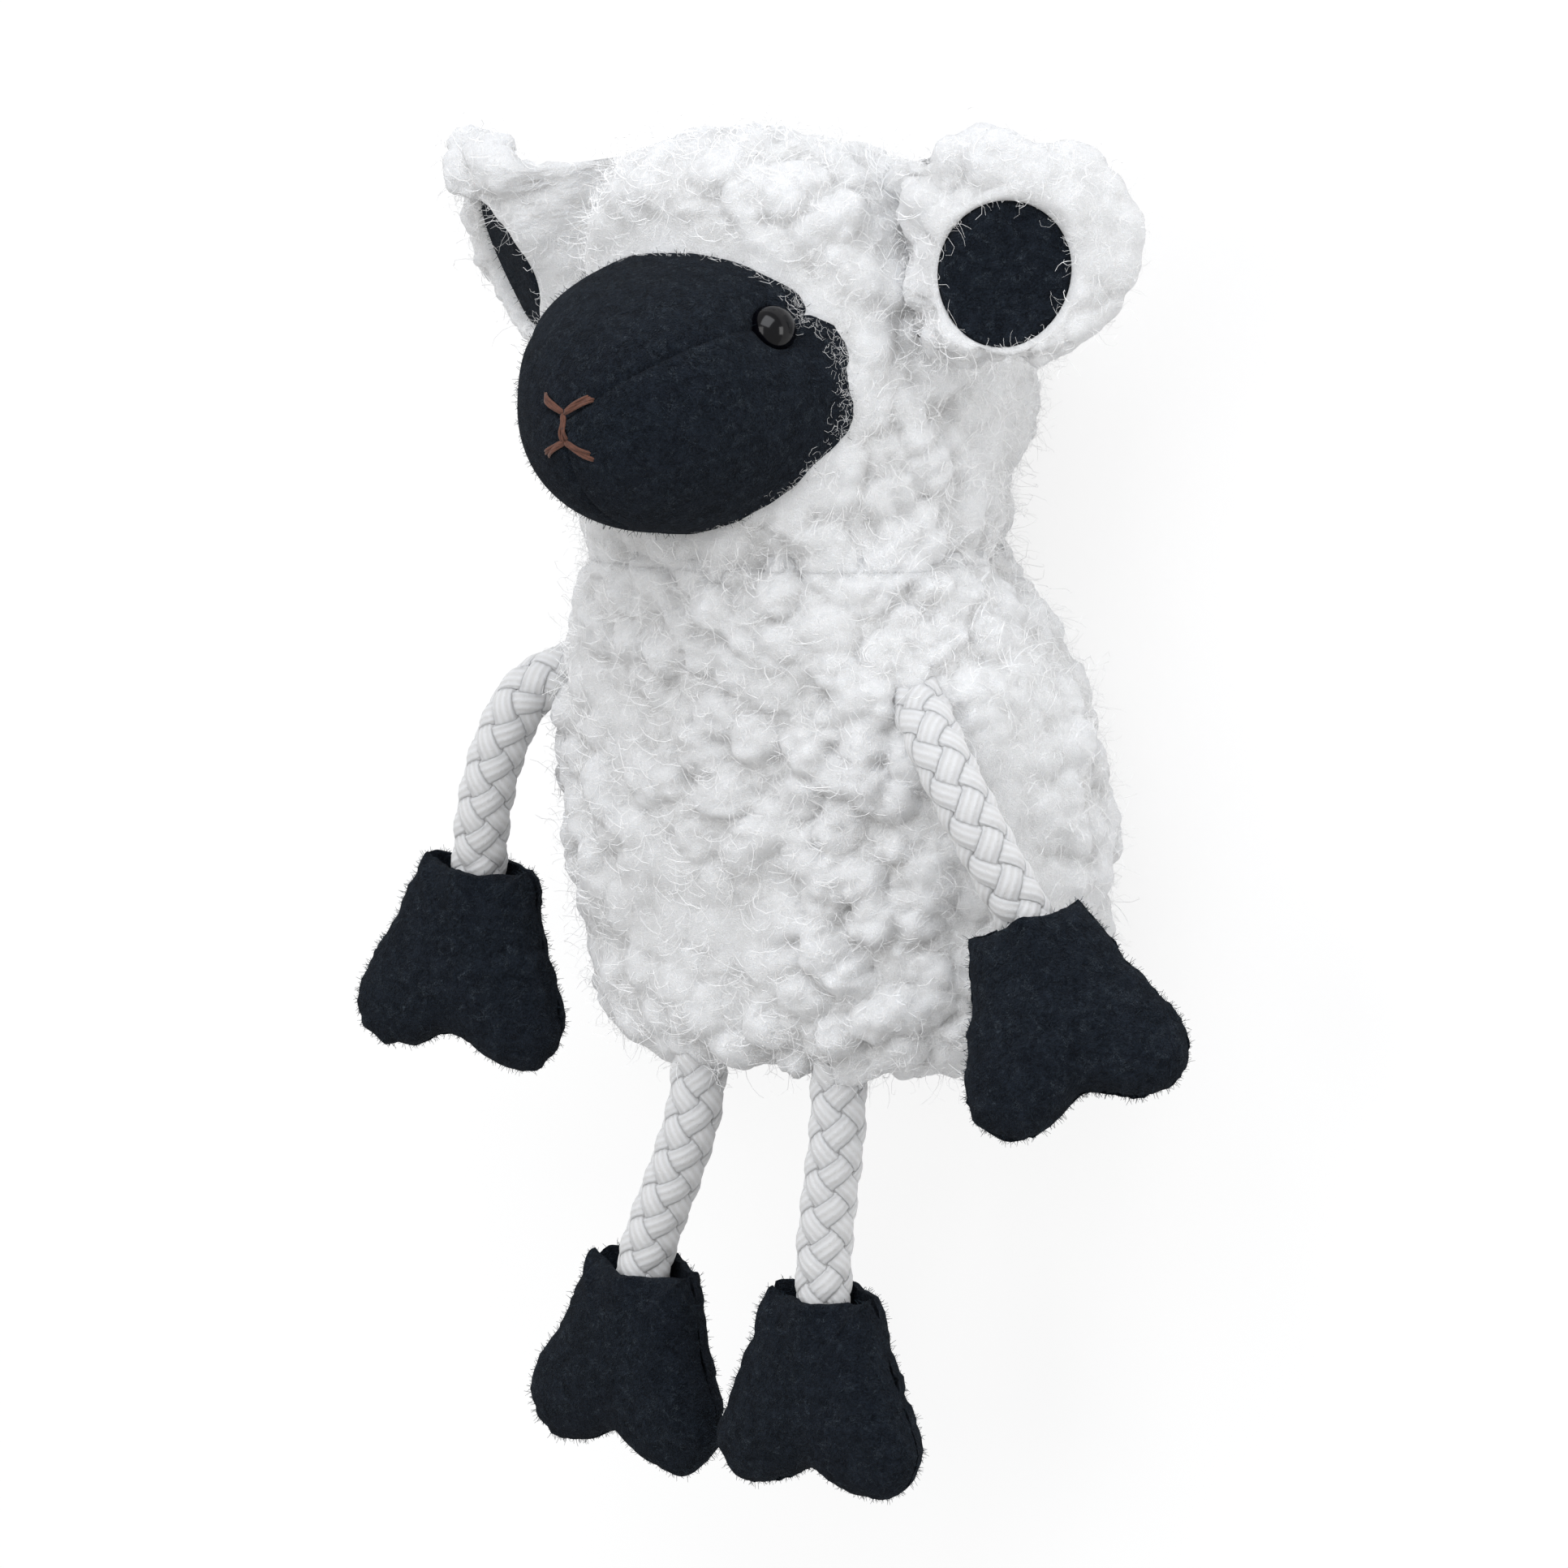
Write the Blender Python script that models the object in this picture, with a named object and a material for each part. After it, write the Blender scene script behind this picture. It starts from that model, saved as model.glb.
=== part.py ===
"""Finger puppet of a woolly sheep, lying on its back.

A sleeve of curly fleece takes one finger. A stuffed fleece head sits on it, with a
felt face sewn from a top gusset and two cheeks, two bead eyes, a stitched mouth and
two lined ears. Four short braided cords are its limbs, and each ends in a hoof made
of two felt panels sewn face to face.

Metres, +Z up. X runs across the puppet, with its own left at +X. Y runs along the
body towards the head. Z is the way the puppet looks, so its back lies on Z = 0.
"""

import math

import bmesh
import bpy
import numpy as np
from mathutils import Matrix, Vector

SEAM_GAP = 0.0003

# Sleeve of the body
BODY_LENGTH = 0.054
BODY_HALF_WIDTH = 0.0315
BODY_FRONT = 0.0402
HEM_ROUNDING = 0.0075
POCKET_HALF_WIDTH = 0.0125
POCKET_BACK = 0.0085
POCKET_FRONT = 0.0260
POCKET_DEPTH = 0.042

# Neck and head
NECK_HALF_WIDTH = 0.0218
NECK_BACK = 0.0060
NECK_FRONT = 0.0455
HEAD_LENGTH = 0.0450
HEAD_HALF_WIDTH = 0.0231
HEAD_FRONT = 0.0498
CROWN_HEIGHT = 0.036
BACK_PRESS = 0.0010
BODY_SQUARENESS = 2.3
HEAD_SQUARENESS = 2.1

# Lumps that the curly pile forms
TUFT_SPREAD = 0.0080
TUFT_HEIGHT = 0.0016
EAR_TUFT_HEIGHT = 0.0009

# Felt face
FELT_THICKNESS = 0.0014
FACE_HALF_WIDTH = 0.0192
FACE_HALF_HEIGHT = 0.0158
FACE_BASE_HEIGHT = 0.038
FACE_LENGTH = 0.0265
FACE_ABOVE_NECK = 0.0192
NOSE_DROP = 0.0030
SIDE_TAPER = 0.37
TOP_TAPER = 0.22
GUSSET_ANGLE = math.radians(56)
STUFFING_BACK = 0.005
FELT_TUCK = 0.0015

# Bead eyes and mouth stitches
EYE_RADIUS = 0.0026
EYE_PROUD = 0.0002
EYE_DIMPLE = 0.0012
EYE_DIMPLE_RADIUS = 0.0042
EYE_SHANK_RADIUS = 0.0008
EYE_SHANK_LENGTH = 0.0040
EYE_ROW = 0.223
EYE_ANGLE = math.radians(57.5)
STITCH_RADIUS = 0.00045
STITCH_REACH = 0.0031
STITCH_RISE = 0.0016
STITCH_TRUNK = 0.0034

# Ears
EAR_OUT = 0.0345
EAR_ABOVE_NECK = 0.0330
EAR_HEIGHT = 0.0315
EAR_RADIUS = 0.0113
EAR_ROOT = 0.0190
EAR_SWEEP = math.radians(38)
EAR_LIFT = {1: 0.0, -1: math.radians(14)}
EAR_FOLD = {1: 0.0, -1: math.radians(23)}
EAR_PILE = 0.0030
EAR_BACK_PILE = 0.0036
EAR_CUP = 0.0016
EAR_ROOT_BEND = 0.0020
LINING_HALF_WIDTH = 0.0069
LINING_HALF_HEIGHT = 0.0076
LINING_SHIFT = (-0.0023, -0.0021)
PILE_LEAN = 0.0002

# Limb cords
CORD_DIAMETER = 0.0062
CORD_SEATING = 0.0060
CORD_IN_HOOF = 0.0065

# Hooves
HOOF_WIDTH = 0.0236
HOOF_LENGTH = 0.0214
HOOF_MOUTH = 0.0122
HOOF_MOUTH_ANGLE = math.radians(20)
HOOF_PUFF = 0.0036
LIP_STEP = 0.0005

# Each limb: cord points from the sleeve to the hoof's mouth, the way the hoof
# points, and how far it is turned about that way
LIMBS = {
    "arm_left": {
        "cord": [
            (0.0215, 0.0145, 0.0335),
            (0.0268, 0.0095, 0.0368),
            (0.0306, 0.0040, 0.0372),
            (0.0335, -0.0022, 0.0357),
            (0.0358, -0.0082, 0.0335),
        ],
        "hoof": "hand_left",
        "points": (0.42, -0.90, 0.02),
        "turn": math.radians(36),
    },
    "arm_right": {
        "cord": [
            (-0.0238, 0.0150, 0.0315),
            (-0.0292, 0.0118, 0.0345),
            (-0.0326, 0.0060, 0.0353),
            (-0.0354, -0.0010, 0.0347),
            (-0.0374, -0.0074, 0.0332),
        ],
        "hoof": "hand_right",
        "points": (-0.15, -0.99, 0.02),
        "turn": math.radians(18),
    },
    "leg_left": {
        "cord": [
            (0.0092, -0.0250, 0.0304),
            (0.0090, -0.0325, 0.0304),
            (0.0079, -0.0392, 0.0302),
            (0.0070, -0.0452, 0.0300),
            (0.0068, -0.0500, 0.0299),
        ],
        "hoof": "foot_left",
        "points": (-0.05, -1.0, -0.02),
        "turn": math.radians(8),
    },
    "leg_right": {
        "cord": [
            (-0.0092, -0.0250, 0.0304),
            (-0.0102, -0.0320, 0.0304),
            (-0.0128, -0.0388, 0.0303),
            (-0.0153, -0.0442, 0.0302),
            (-0.0172, -0.0492, 0.0301),
        ],
        "hoof": "foot_right",
        "points": (-0.17, -1.0, -0.02),
        "turn": math.radians(4),
    },
}

WHITE = (0.90, 0.90, 0.89)
CREAM = (0.93, 0.92, 0.88)
BLACK = (0.010, 0.016, 0.020)
GLOSSY_BLACK = (0.004, 0.004, 0.005)
RUST = (0.16, 0.05, 0.022)
COTTON = (0.86, 0.86, 0.84)

HEM_Y = -BODY_LENGTH / 2
NECK_Y = BODY_LENGTH / 2
CORD_RADIUS = CORD_DIAMETER / 2
FACE_Y = NECK_Y + FACE_ABOVE_NECK


def principled(name, colour, roughness, metallic=0.0):
    """A plain material of one colour."""
    material = bpy.data.materials.new(name)
    material.use_nodes = True
    shader = material.node_tree.nodes["Principled BSDF"]
    shader.inputs["Base Color"].default_value = (*colour, 1.0)
    shader.inputs["Roughness"].default_value = roughness
    shader.inputs["Metallic"].default_value = metallic
    material.diffuse_color = (*colour, 1.0)
    return material


def link(name, data, colour, roughness):
    """Put data into the scene as an object with a material of its own."""
    obj = bpy.data.objects.new(name, data)
    bpy.context.collection.objects.link(obj)
    data.materials.append(principled(name, colour, roughness))
    return obj


def mesh_from_rows(name, rows, first_pole=None, last_pole=None, split="FIXED"):
    """Join closed rings of points into one skin, with a fan to a point at each end."""
    rings = np.asarray(rows, dtype=float)
    count, size = rings.shape[:2]
    points = [tuple(point) for ring in rings for point in ring]
    faces = []
    for row in range(count - 1):
        for k in range(size):
            after = (k + 1) % size
            low, high = row * size, (row + 1) * size
            faces.append((low + k, low + after, high + after, high + k))
    for pole, ring in ((first_pole, 0), (last_pole, count - 1)):
        if pole is None:
            continue
        points.append(tuple(pole))
        tip = len(points) - 1
        faces += [(ring * size + k, ring * size + (k + 1) % size, tip) for k in range(size)]
    mesh = bpy.data.meshes.new(name)
    mesh.from_pydata(points, [], faces)
    face_outwards(mesh, split)
    return mesh


def face_outwards(mesh, split):
    """Point the faces of a closed mesh out, split into triangles unless split is None."""
    bm = bmesh.new()
    bm.from_mesh(mesh)
    if split:
        bmesh.ops.triangulate(bm, faces=bm.faces, quad_method=split)
    bmesh.ops.recalc_face_normals(bm, faces=bm.faces)
    if bm.calc_volume(signed=True) < 0:
        bmesh.ops.reverse_faces(bm, faces=bm.faces)
    bm.to_mesh(mesh)
    bm.free()
    mesh.update()


def mesh_points(mesh):
    """The mesh's points and the way each of them faces, as two arrays."""
    points = np.empty(len(mesh.vertices) * 3)
    normals = np.empty(len(mesh.vertices) * 3)
    mesh.vertices.foreach_get("co", points)
    mesh.vertex_normals.foreach_get("vector", normals)
    return points.reshape(-1, 3), normals.reshape(-1, 3)


def set_points(mesh, points):
    mesh.vertices.foreach_set("co", np.asarray(points).ravel())
    mesh.update()


def tuft_tips(points, spread):
    """Tips strewn over the pile: each new one is the farthest from those before it."""
    strewn = points + np.random.default_rng(5).normal(scale=0.22 * spread, size=points.shape)
    distance = np.linalg.norm(strewn - strewn[0], axis=1)
    tips = [strewn[0]]
    while distance.max() > spread:
        tips.append(strewn[int(distance.argmax())])
        distance = np.minimum(distance, np.linalg.norm(strewn - tips[-1], axis=1))
    return np.array(tips)


def raise_tufts(mesh, woolly, height, spread=TUFT_SPREAD):
    """Push the woolly points out along their normals by a dome over each tuft tip.

    The dome falls as one less the square of the distance to the nearest tip, taken in
    dome radii, and goes below zero between the tips, which draws the valleys in.
    """
    points, normals = mesh_points(mesh)
    tips = tuft_tips(points[woolly], spread)
    away = np.linalg.norm(points[:, None, :] - tips[None, :, :], axis=2).min(axis=1)
    dome = 1.0 - (away / (0.72 * spread)) ** 2
    push = height * np.clip(dome, -0.35, 1.0) * woolly
    set_points(mesh, points + normals * push[:, None])


def grow(mesh, amount):
    """Move every point out along its normal."""
    points, normals = mesh_points(mesh)
    set_points(mesh, points + normals * amount)


def press_on_table(mesh):
    """Flatten what would reach below the table on it."""
    points, _ = mesh_points(mesh)
    points[:, 2] = np.maximum(points[:, 2], 0.0)
    set_points(mesh, points)


def smooth_rows(stations, count):
    """Rows read from a smooth curve through the stations, at even steps of its length."""
    knots = np.asarray(stations, dtype=float)
    padded = np.vstack([2 * knots[0] - knots[1], knots, 2 * knots[-1] - knots[-2]])
    fine = []
    for k in range(len(knots) - 1):
        before, start, end, after = padded[k : k + 4]
        t = np.linspace(0.0, 1.0, 16, endpoint=False)[:, None]
        fine.append(
            0.5
            * (
                2 * start
                + (end - before) * t
                + (2 * before - 5 * start + 4 * end - after) * t**2
                + (3 * start - before - 3 * end + after) * t**3
            )
        )
    fine = np.vstack([*fine, knots[-1:]])
    walked = np.concatenate([[0.0], np.cumsum(np.linalg.norm(np.diff(fine, axis=0), axis=1))])
    steps = np.linspace(0.0, walked[-1], count)
    return np.stack([np.interp(steps, walked, column) for column in fine.T], axis=1)


def section_ring(y, half_width, back, front, columns, squareness=BODY_SQUARENESS):
    """One cross-section: a rounded square between its back and front heights."""
    angle = np.linspace(0.0, 2 * math.pi, columns, endpoint=False)
    power = 2.0 / squareness
    sine, cosine = np.sin(angle), np.cos(angle)
    x = half_width * np.sign(sine) * np.abs(sine) ** power
    middle, reach = (front + back) / 2, (front - back) / 2
    z = middle + reach * np.sign(cosine) * np.abs(cosine) ** power
    return np.stack([x, np.full(columns, y), z], axis=1)


def body_stations():
    """Sections of the sleeve from the neck down to the rounding at its hem."""
    length, width, front = BODY_LENGTH, BODY_HALF_WIDTH, BODY_FRONT
    neck_blend = (width - NECK_HALF_WIDTH, front - NECK_FRONT)
    return [
        (NECK_Y - SEAM_GAP / 2, NECK_HALF_WIDTH, NECK_BACK, NECK_FRONT),
        (NECK_Y - 0.11 * length, NECK_HALF_WIDTH + 0.35 * neck_blend[0], 0.5 * NECK_BACK,
         NECK_FRONT + 0.10 * neck_blend[1]),
        (NECK_Y - 0.25 * length, NECK_HALF_WIDTH + 0.78 * neck_blend[0], 0.0,
         NECK_FRONT + 0.62 * neck_blend[1]),
        (NECK_Y - 0.45 * length, width, -BACK_PRESS, front),
        (NECK_Y - 0.65 * length, 0.985 * width, -BACK_PRESS, 0.945 * front),
        (HEM_Y + HEM_ROUNDING + 0.05 * length, 0.94 * width, -BACK_PRESS, 0.915 * front),
    ]


def body_mesh(name, columns=44, outer_rows=18, hem_rows=4, pocket_rows=4):
    """The sleeve: round outside, rolled in at the hem and hollow for one finger."""
    stations = body_stations()
    outer = smooth_rows(stations, outer_rows)
    rows = [section_ring(*station, columns) for station in outer]
    _, wide, back, front = stations[-1]
    rim = (POCKET_HALF_WIDTH, POCKET_BACK, POCKET_FRONT)
    for k in range(1, hem_rows + 1):
        turn = math.pi / 2 * k / hem_rows
        into = 0.62 * (1 - math.cos(turn))
        sizes = [full + (inner - full) * into for full, inner in zip((wide, back, front), rim)]
        rows.append(section_ring(stations[-1][0] + (HEM_Y - stations[-1][0]) * math.sin(turn),
                                 *sizes, columns))
    for k in range(pocket_rows + 1):
        share = k / pocket_rows
        taper = math.sqrt(1 - 0.75 * share**4)
        middle, reach = (POCKET_FRONT + POCKET_BACK) / 2, (POCKET_FRONT - POCKET_BACK) / 2
        rows.append(section_ring(HEM_Y + POCKET_DEPTH * share, POCKET_HALF_WIDTH * taper,
                                 middle - reach * taper, middle + reach * taper, columns))
    neck_middle = (NECK_BACK + NECK_FRONT) / 2
    pocket_middle = (POCKET_BACK + POCKET_FRONT) / 2
    neck_pole = (0.0, NECK_Y - SEAM_GAP / 2, neck_middle)
    pocket_pole = (0.0, HEM_Y + 1.02 * POCKET_DEPTH, pocket_middle)
    mesh = mesh_from_rows(name, rows, neck_pole, pocket_pole, split=None)
    woolly = np.zeros(len(mesh.vertices), dtype=bool)
    woolly[columns : (outer_rows + hem_rows) * columns] = True
    raise_tufts(mesh, woolly, TUFT_HEIGHT)
    press_on_table(mesh)
    face_outwards(mesh, "SHORT_EDGE")
    return mesh


def head_stations():
    """Sections of the head from the neck seam up to the crown."""
    width, front = HEAD_HALF_WIDTH, HEAD_FRONT
    return [
        (NECK_Y + SEAM_GAP / 2, NECK_HALF_WIDTH, NECK_BACK, NECK_FRONT),
        (NECK_Y + 0.17 * HEAD_LENGTH, 0.96 * width, 0.6 * NECK_BACK, 0.955 * front),
        (NECK_Y + 0.40 * HEAD_LENGTH, width, -BACK_PRESS, front),
        (NECK_Y + 0.64 * HEAD_LENGTH, 0.97 * width, -BACK_PRESS, 0.99 * front),
        (NECK_Y + 0.81 * HEAD_LENGTH, 0.84 * width, 0.16 * CROWN_HEIGHT, 0.975 * front),
        (NECK_Y + 0.92 * HEAD_LENGTH, 0.62 * width, 0.42 * CROWN_HEIGHT, 0.93 * front),
        (NECK_Y + 0.985 * HEAD_LENGTH, 0.30 * width, 0.75 * CROWN_HEIGHT, 0.82 * front),
    ]


def head_mesh(name, extra=0.0, columns=44, outer_rows=17):
    """The fleece of the head as a whole ball, before the face is let in."""
    rows = [
        section_ring(*station, columns, HEAD_SQUARENESS)
        for station in smooth_rows(head_stations(), outer_rows)
    ]
    neck_middle = (NECK_BACK + NECK_FRONT) / 2
    neck_pole = (0.0, NECK_Y + SEAM_GAP / 2, neck_middle)
    crown_pole = (0.0, NECK_Y + HEAD_LENGTH, CROWN_HEIGHT)
    mesh = mesh_from_rows(name, rows, neck_pole, crown_pole, split=None)
    woolly = np.ones(len(mesh.vertices), dtype=bool)
    woolly[:columns] = False
    woolly[-2] = False
    raise_tufts(mesh, woolly, TUFT_HEIGHT)
    face_outwards(mesh, "SHORT_EDGE")
    if extra:
        grow(mesh, extra)
    else:
        press_on_table(mesh)
    return mesh


def face_surface(row, angle):
    """A point of the felt face: row 0 is its border in the fleece and 1 its nose.

    Its half-width and half-height shrink evenly towards the nose, times a blunt dome,
    the square root of one less the fourth power of how far along the face it is.
    """
    along = np.sin(row * math.pi / 2)
    dome = np.cos(row * math.pi / 2) * np.sqrt(1 + along**2)
    x = FACE_HALF_WIDTH * (1 - SIDE_TAPER * along) * dome * np.sin(angle)
    y = FACE_Y - NOSE_DROP * along
    y = y + FACE_HALF_HEIGHT * (1 - TOP_TAPER * along) * dome * np.cos(angle)
    z = FACE_BASE_HEIGHT + FACE_LENGTH * along + 0 * angle
    return np.stack([x, y, z], axis=-1)


def face_normal(row, angle, step=1e-4):
    """The way the face looks at a point, from its slopes along both directions."""
    row = np.minimum(row, 1 - 2 * step)
    along = face_surface(row + step, angle) - face_surface(row - step, angle)
    around = face_surface(row, angle + step) - face_surface(row, angle - step)
    normal = np.cross(along, around)
    return normal / np.linalg.norm(normal, axis=-1, keepdims=True)


def round_point(row, angle, depth=0.0):
    """A point that lies depth below the face as it would be without its eyes."""
    row, angle = np.broadcast_arrays(np.asarray(row, float), np.asarray(angle, float))
    return face_surface(row, angle) - depth * face_normal(row, angle)


def face_point(row, angle, depth=0.0):
    """A point that lies depth below the felt's outer side, which dips round each eye.

    The dip falls off as a bell with the distance to the eye's own spot on the face.
    """
    row, angle = np.broadcast_arrays(np.asarray(row, float), np.asarray(angle, float))
    flat = face_surface(row, angle)
    dip = np.zeros(row.shape)
    for side in (1, -1):
        eye = face_surface(np.array(EYE_ROW), np.array(side * EYE_ANGLE))
        away = np.linalg.norm(flat - eye, axis=-1)
        dip += EYE_DIMPLE * np.exp(-((away / EYE_DIMPLE_RADIUS) ** 2))
    return flat - (depth + dip)[..., None] * face_normal(row, angle)


def core_mesh(name, face_depth, extra, tuck=0.0, columns=24, face_rows=9, back_rows=6):
    """The stuffing's form: the inside of the face, and an egg behind it in the head.

    The room for it reaches the tuck further back along the face, past the felt's edge.
    """
    angle = np.linspace(0.0, 2 * math.pi, columns, endpoint=False)
    border = -math.asin(tuck / FACE_LENGTH) / (math.pi / 2)
    rows = [round_point(row, angle, face_depth) for row in np.linspace(0.97, border, face_rows)]
    side = FACE_HALF_WIDTH - FELT_THICKNESS - 2 * SEAM_GAP + extra
    tall = FACE_HALF_HEIGHT - FELT_THICKNESS - 2 * SEAM_GAP + extra
    start = FACE_BASE_HEIGHT - FELT_TUCK - extra
    reach = start - STUFFING_BACK + extra
    for turn in np.linspace(0.0, 0.85, back_rows) * math.pi / 2:
        x = side * math.cos(turn) * np.sin(angle)
        y = FACE_Y + tall * math.cos(turn) * np.cos(angle)
        z = np.full(columns, start - reach * math.sin(turn))
        rows.append(np.stack([x, y, z], axis=1))
    nose = round_point(0.9999, 0.0, face_depth)
    return mesh_from_rows(name, rows, nose, (0.0, FACE_Y, start - reach))


def face_panel(name, first, last, columns, rows=9):
    """One felt panel of the face between two seams, as thick as the felt."""
    outside, inside = [], []
    for row in np.linspace(0.0, 0.955, rows):
        girth = np.linalg.norm(face_surface(np.array(row), np.array(math.pi / 2))[:1])
        trim = math.asin(min(0.9, SEAM_GAP / 2 / girth))
        angle = np.linspace(first + trim, last - trim, columns)
        outside.append(face_point(row, angle))
        inside.append(face_point(row, angle, FELT_THICKNESS))
    loops = [np.concatenate([out, back[::-1]]) for out, back in zip(outside, inside)]
    mesh = mesh_from_rows(name, loops)
    ring = len(loops[0])
    bm = bmesh.new()
    bm.from_mesh(mesh)
    bm.verts.ensure_lookup_table()
    for start in (0, (rows - 1) * ring):
        for k in range(columns - 1):
            corners = (k, k + 1, ring - 2 - k, ring - 1 - k)
            bm.faces.new([bm.verts[start + corner] for corner in corners])
    bmesh.ops.recalc_face_normals(bm, faces=bm.faces)
    if bm.calc_volume(signed=True) < 0:
        bmesh.ops.reverse_faces(bm, faces=bm.faces)
    bm.to_mesh(mesh)
    bm.free()
    return mesh


def lathe(name, profile, segments=14):
    """Turn a profile of radius and height, with both ends on the axis, about Z."""
    angle = np.linspace(0.0, 2 * math.pi, segments, endpoint=False)
    rows = [
        np.stack([r * np.cos(angle), r * np.sin(angle), np.full(segments, z)], axis=1)
        for r, z in profile[1:-1]
    ]
    return mesh_from_rows(name, rows, (0.0, 0.0, profile[0][1]), (0.0, 0.0, profile[-1][1]))


def eye_profile(extra=0.0, steps=8):
    """A round bead on a short shank, from the shank's foot to the top of the bead."""
    bead, shank = EYE_RADIUS + extra, EYE_SHANK_RADIUS + extra
    foot = -EYE_SHANK_LENGTH - extra
    low = -math.sqrt(bead**2 - shank**2)
    first = math.asin(shank / bead)
    profile = [(0.0, foot), (shank, foot), (shank, low)]
    for k in range(1, steps):
        turn = first + (math.pi - first) * k / steps
        profile.append((bead * math.sin(turn), -bead * math.cos(turn)))
    return [*profile, (0.0, bead)]


def eye_place(side):
    """Where an eye sits: its middle a little above the felt, its shank pointing in."""
    angle = side * EYE_ANGLE
    normal = Vector(face_normal(np.array(EYE_ROW), np.array(angle)))
    spot = Vector(face_point(EYE_ROW, angle)) + normal * EYE_PROUD
    turn = normal.to_track_quat("Z", "Y").to_matrix().to_4x4()
    return Matrix.Translation(spot) @ turn


def cutter(name, mesh, place=None):
    """A shape that only cuts others."""
    obj = bpy.data.objects.new(name, mesh)
    bpy.context.collection.objects.link(obj)
    obj.hide_render = True
    obj.display_type = "WIRE"
    if place is not None:
        obj.matrix_world = place
    return obj


def cut(obj, tool, operation="DIFFERENCE"):
    modifier = obj.modifiers.new(tool.name, "BOOLEAN")
    modifier.operation = operation
    modifier.object = tool


def tube_mesh(name, route, radius, sides=8):
    """A round tube along a route, closed at both ends."""
    route = np.asarray(route, dtype=float)
    ahead = np.gradient(route, axis=0)
    ahead /= np.linalg.norm(ahead, axis=1, keepdims=True)
    across = np.cross(ahead, [0.0, 0.0, 1.0])
    flat = np.linalg.norm(across, axis=1) < 0.2
    across[flat] = np.cross(ahead[flat], [1.0, 0.0, 0.0])
    across /= np.linalg.norm(across, axis=1, keepdims=True)
    over = np.cross(across, ahead)
    angle = np.linspace(0.0, 2 * math.pi, sides, endpoint=False)
    rows = [
        route[k] + radius * (np.cos(angle)[:, None] * across[k] + np.sin(angle)[:, None] * over[k])
        for k in range(len(route))
    ]
    return mesh_from_rows(name, rows, route[0], route[-1])


def limb_route(limb, count=10):
    """The cord's middle line: from inside the sleeve, along its points, into the hoof."""
    points = [Vector(point) for point in limb["cord"]]
    ahead = Vector(limb["points"]).normalized()
    back = (points[0] - points[1]).normalized()
    route = [points[0] + back * CORD_SEATING * 0.5, *points, points[-1] + ahead * CORD_IN_HOOF]
    return smooth_rows([tuple(point) for point in route], count)


def cord(name, route):
    """A plain round cord along its route."""
    curve = bpy.data.curves.new(name, "CURVE")
    curve.dimensions = "3D"
    curve.bevel_depth = CORD_RADIUS
    curve.bevel_resolution = 3
    curve.use_fill_caps = True
    spline = curve.splines.new("POLY")
    spline.points.add(len(route) - 1)
    for point, place in zip(spline.points, route):
        point.co = (*place, 1.0)
    return link(name, curve, COTTON, 0.8)


def outline(points, count):
    """A closed smooth outline through hand-set corners, as points at even steps."""
    knots = np.asarray(points, dtype=float)
    looped = np.vstack([knots[-2:], knots, knots[:3]])
    fine = smooth_rows(looped, 16 * len(looped))
    start = int(np.linalg.norm(fine - knots[0], axis=1)[: len(fine) // 2].argmin())
    tail = int(np.linalg.norm(fine - knots[0], axis=1)[len(fine) // 2 :].argmin())
    loop = fine[start : len(fine) // 2 + tail + 1]
    walked = np.concatenate([[0.0], np.cumsum(np.linalg.norm(np.diff(loop, axis=0), axis=1))])
    steps = np.linspace(0.0, walked[-1], count, endpoint=False)
    return np.stack([np.interp(steps, walked, column) for column in loop.T], axis=1)


def hoof_outline(lip, count=24):
    """The hoof seen from its face: a square mouth, straight sides and two round toes."""
    half, length, mouth = HOOF_WIDTH / 2, HOOF_LENGTH, HOOF_MOUTH / 2
    right = [
        (0.82 * mouth, 0.6 * lip),
        (1.02 * mouth, -0.01 * length),
        (0.34 * half + 0.70 * mouth, -0.32 * length),
        (0.95 * half, -0.64 * length),
        (0.98 * half, -0.84 * length),
        (0.72 * half, -0.985 * length),
        (0.36 * half, -0.965 * length),
    ]
    left = [(-x, y) for x, y in reversed(right)]
    return outline([(0.0, lip), *right, (0.0, -0.88 * length), *left], count)


def hoof_panel(name, lip, rows=4, inner_rows=2):
    """One felt panel of a hoof: puffed in the middle, open at the mouth for the cord.

    The inner side stands off the seam by the puff times the root of one less the squared
    share of the way out to the rim, and keeps its full height towards the mouth.
    """
    rim = hoof_outline(lip)
    middle = np.array([0.0, -0.5 * HOOF_LENGTH])
    bearing = np.arctan2(rim[:, 0], rim[:, 1] - middle[1])
    mouth = np.exp(-((bearing / HOOF_MOUTH_ANGLE) ** 2))

    def ring(share, side):
        flat = middle + (rim - middle) * share
        dome = mouth + (1 - mouth) * math.sqrt(max(0.0, 1 - share**2))
        height = SEAM_GAP / 2 + HOOF_PUFF * dome + (FELT_THICKNESS if side else 0.0)
        return np.column_stack([flat, height])

    inside = [ring(share, 0) for share in np.linspace(0.0, 1.0, inner_rows + 2)[1:]]
    shares = np.sin(np.linspace(1.0, 0.0, rows + 1)[:-1] * math.pi / 2)
    outside = [ring(share, 1) for share in shares]
    floor = (*middle, SEAM_GAP / 2 + HOOF_PUFF)
    return mesh_from_rows(name, [*inside, *outside], floor, (*middle, floor[2] + FELT_THICKNESS))


def hoof_place(limb):
    """The hoof's frame: mouth at the cord's end, toes the way it points."""
    ahead = Vector(limb["points"]).normalized()
    up = Vector((math.sin(limb["turn"]), 0.0, math.cos(limb["turn"])))
    across = (-ahead).cross(up).normalized()
    up = across.cross(-ahead).normalized()
    place = Matrix((across, -ahead, up)).transposed().to_4x4()
    place.translation = Vector(limb["cord"][-1])
    return place


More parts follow.
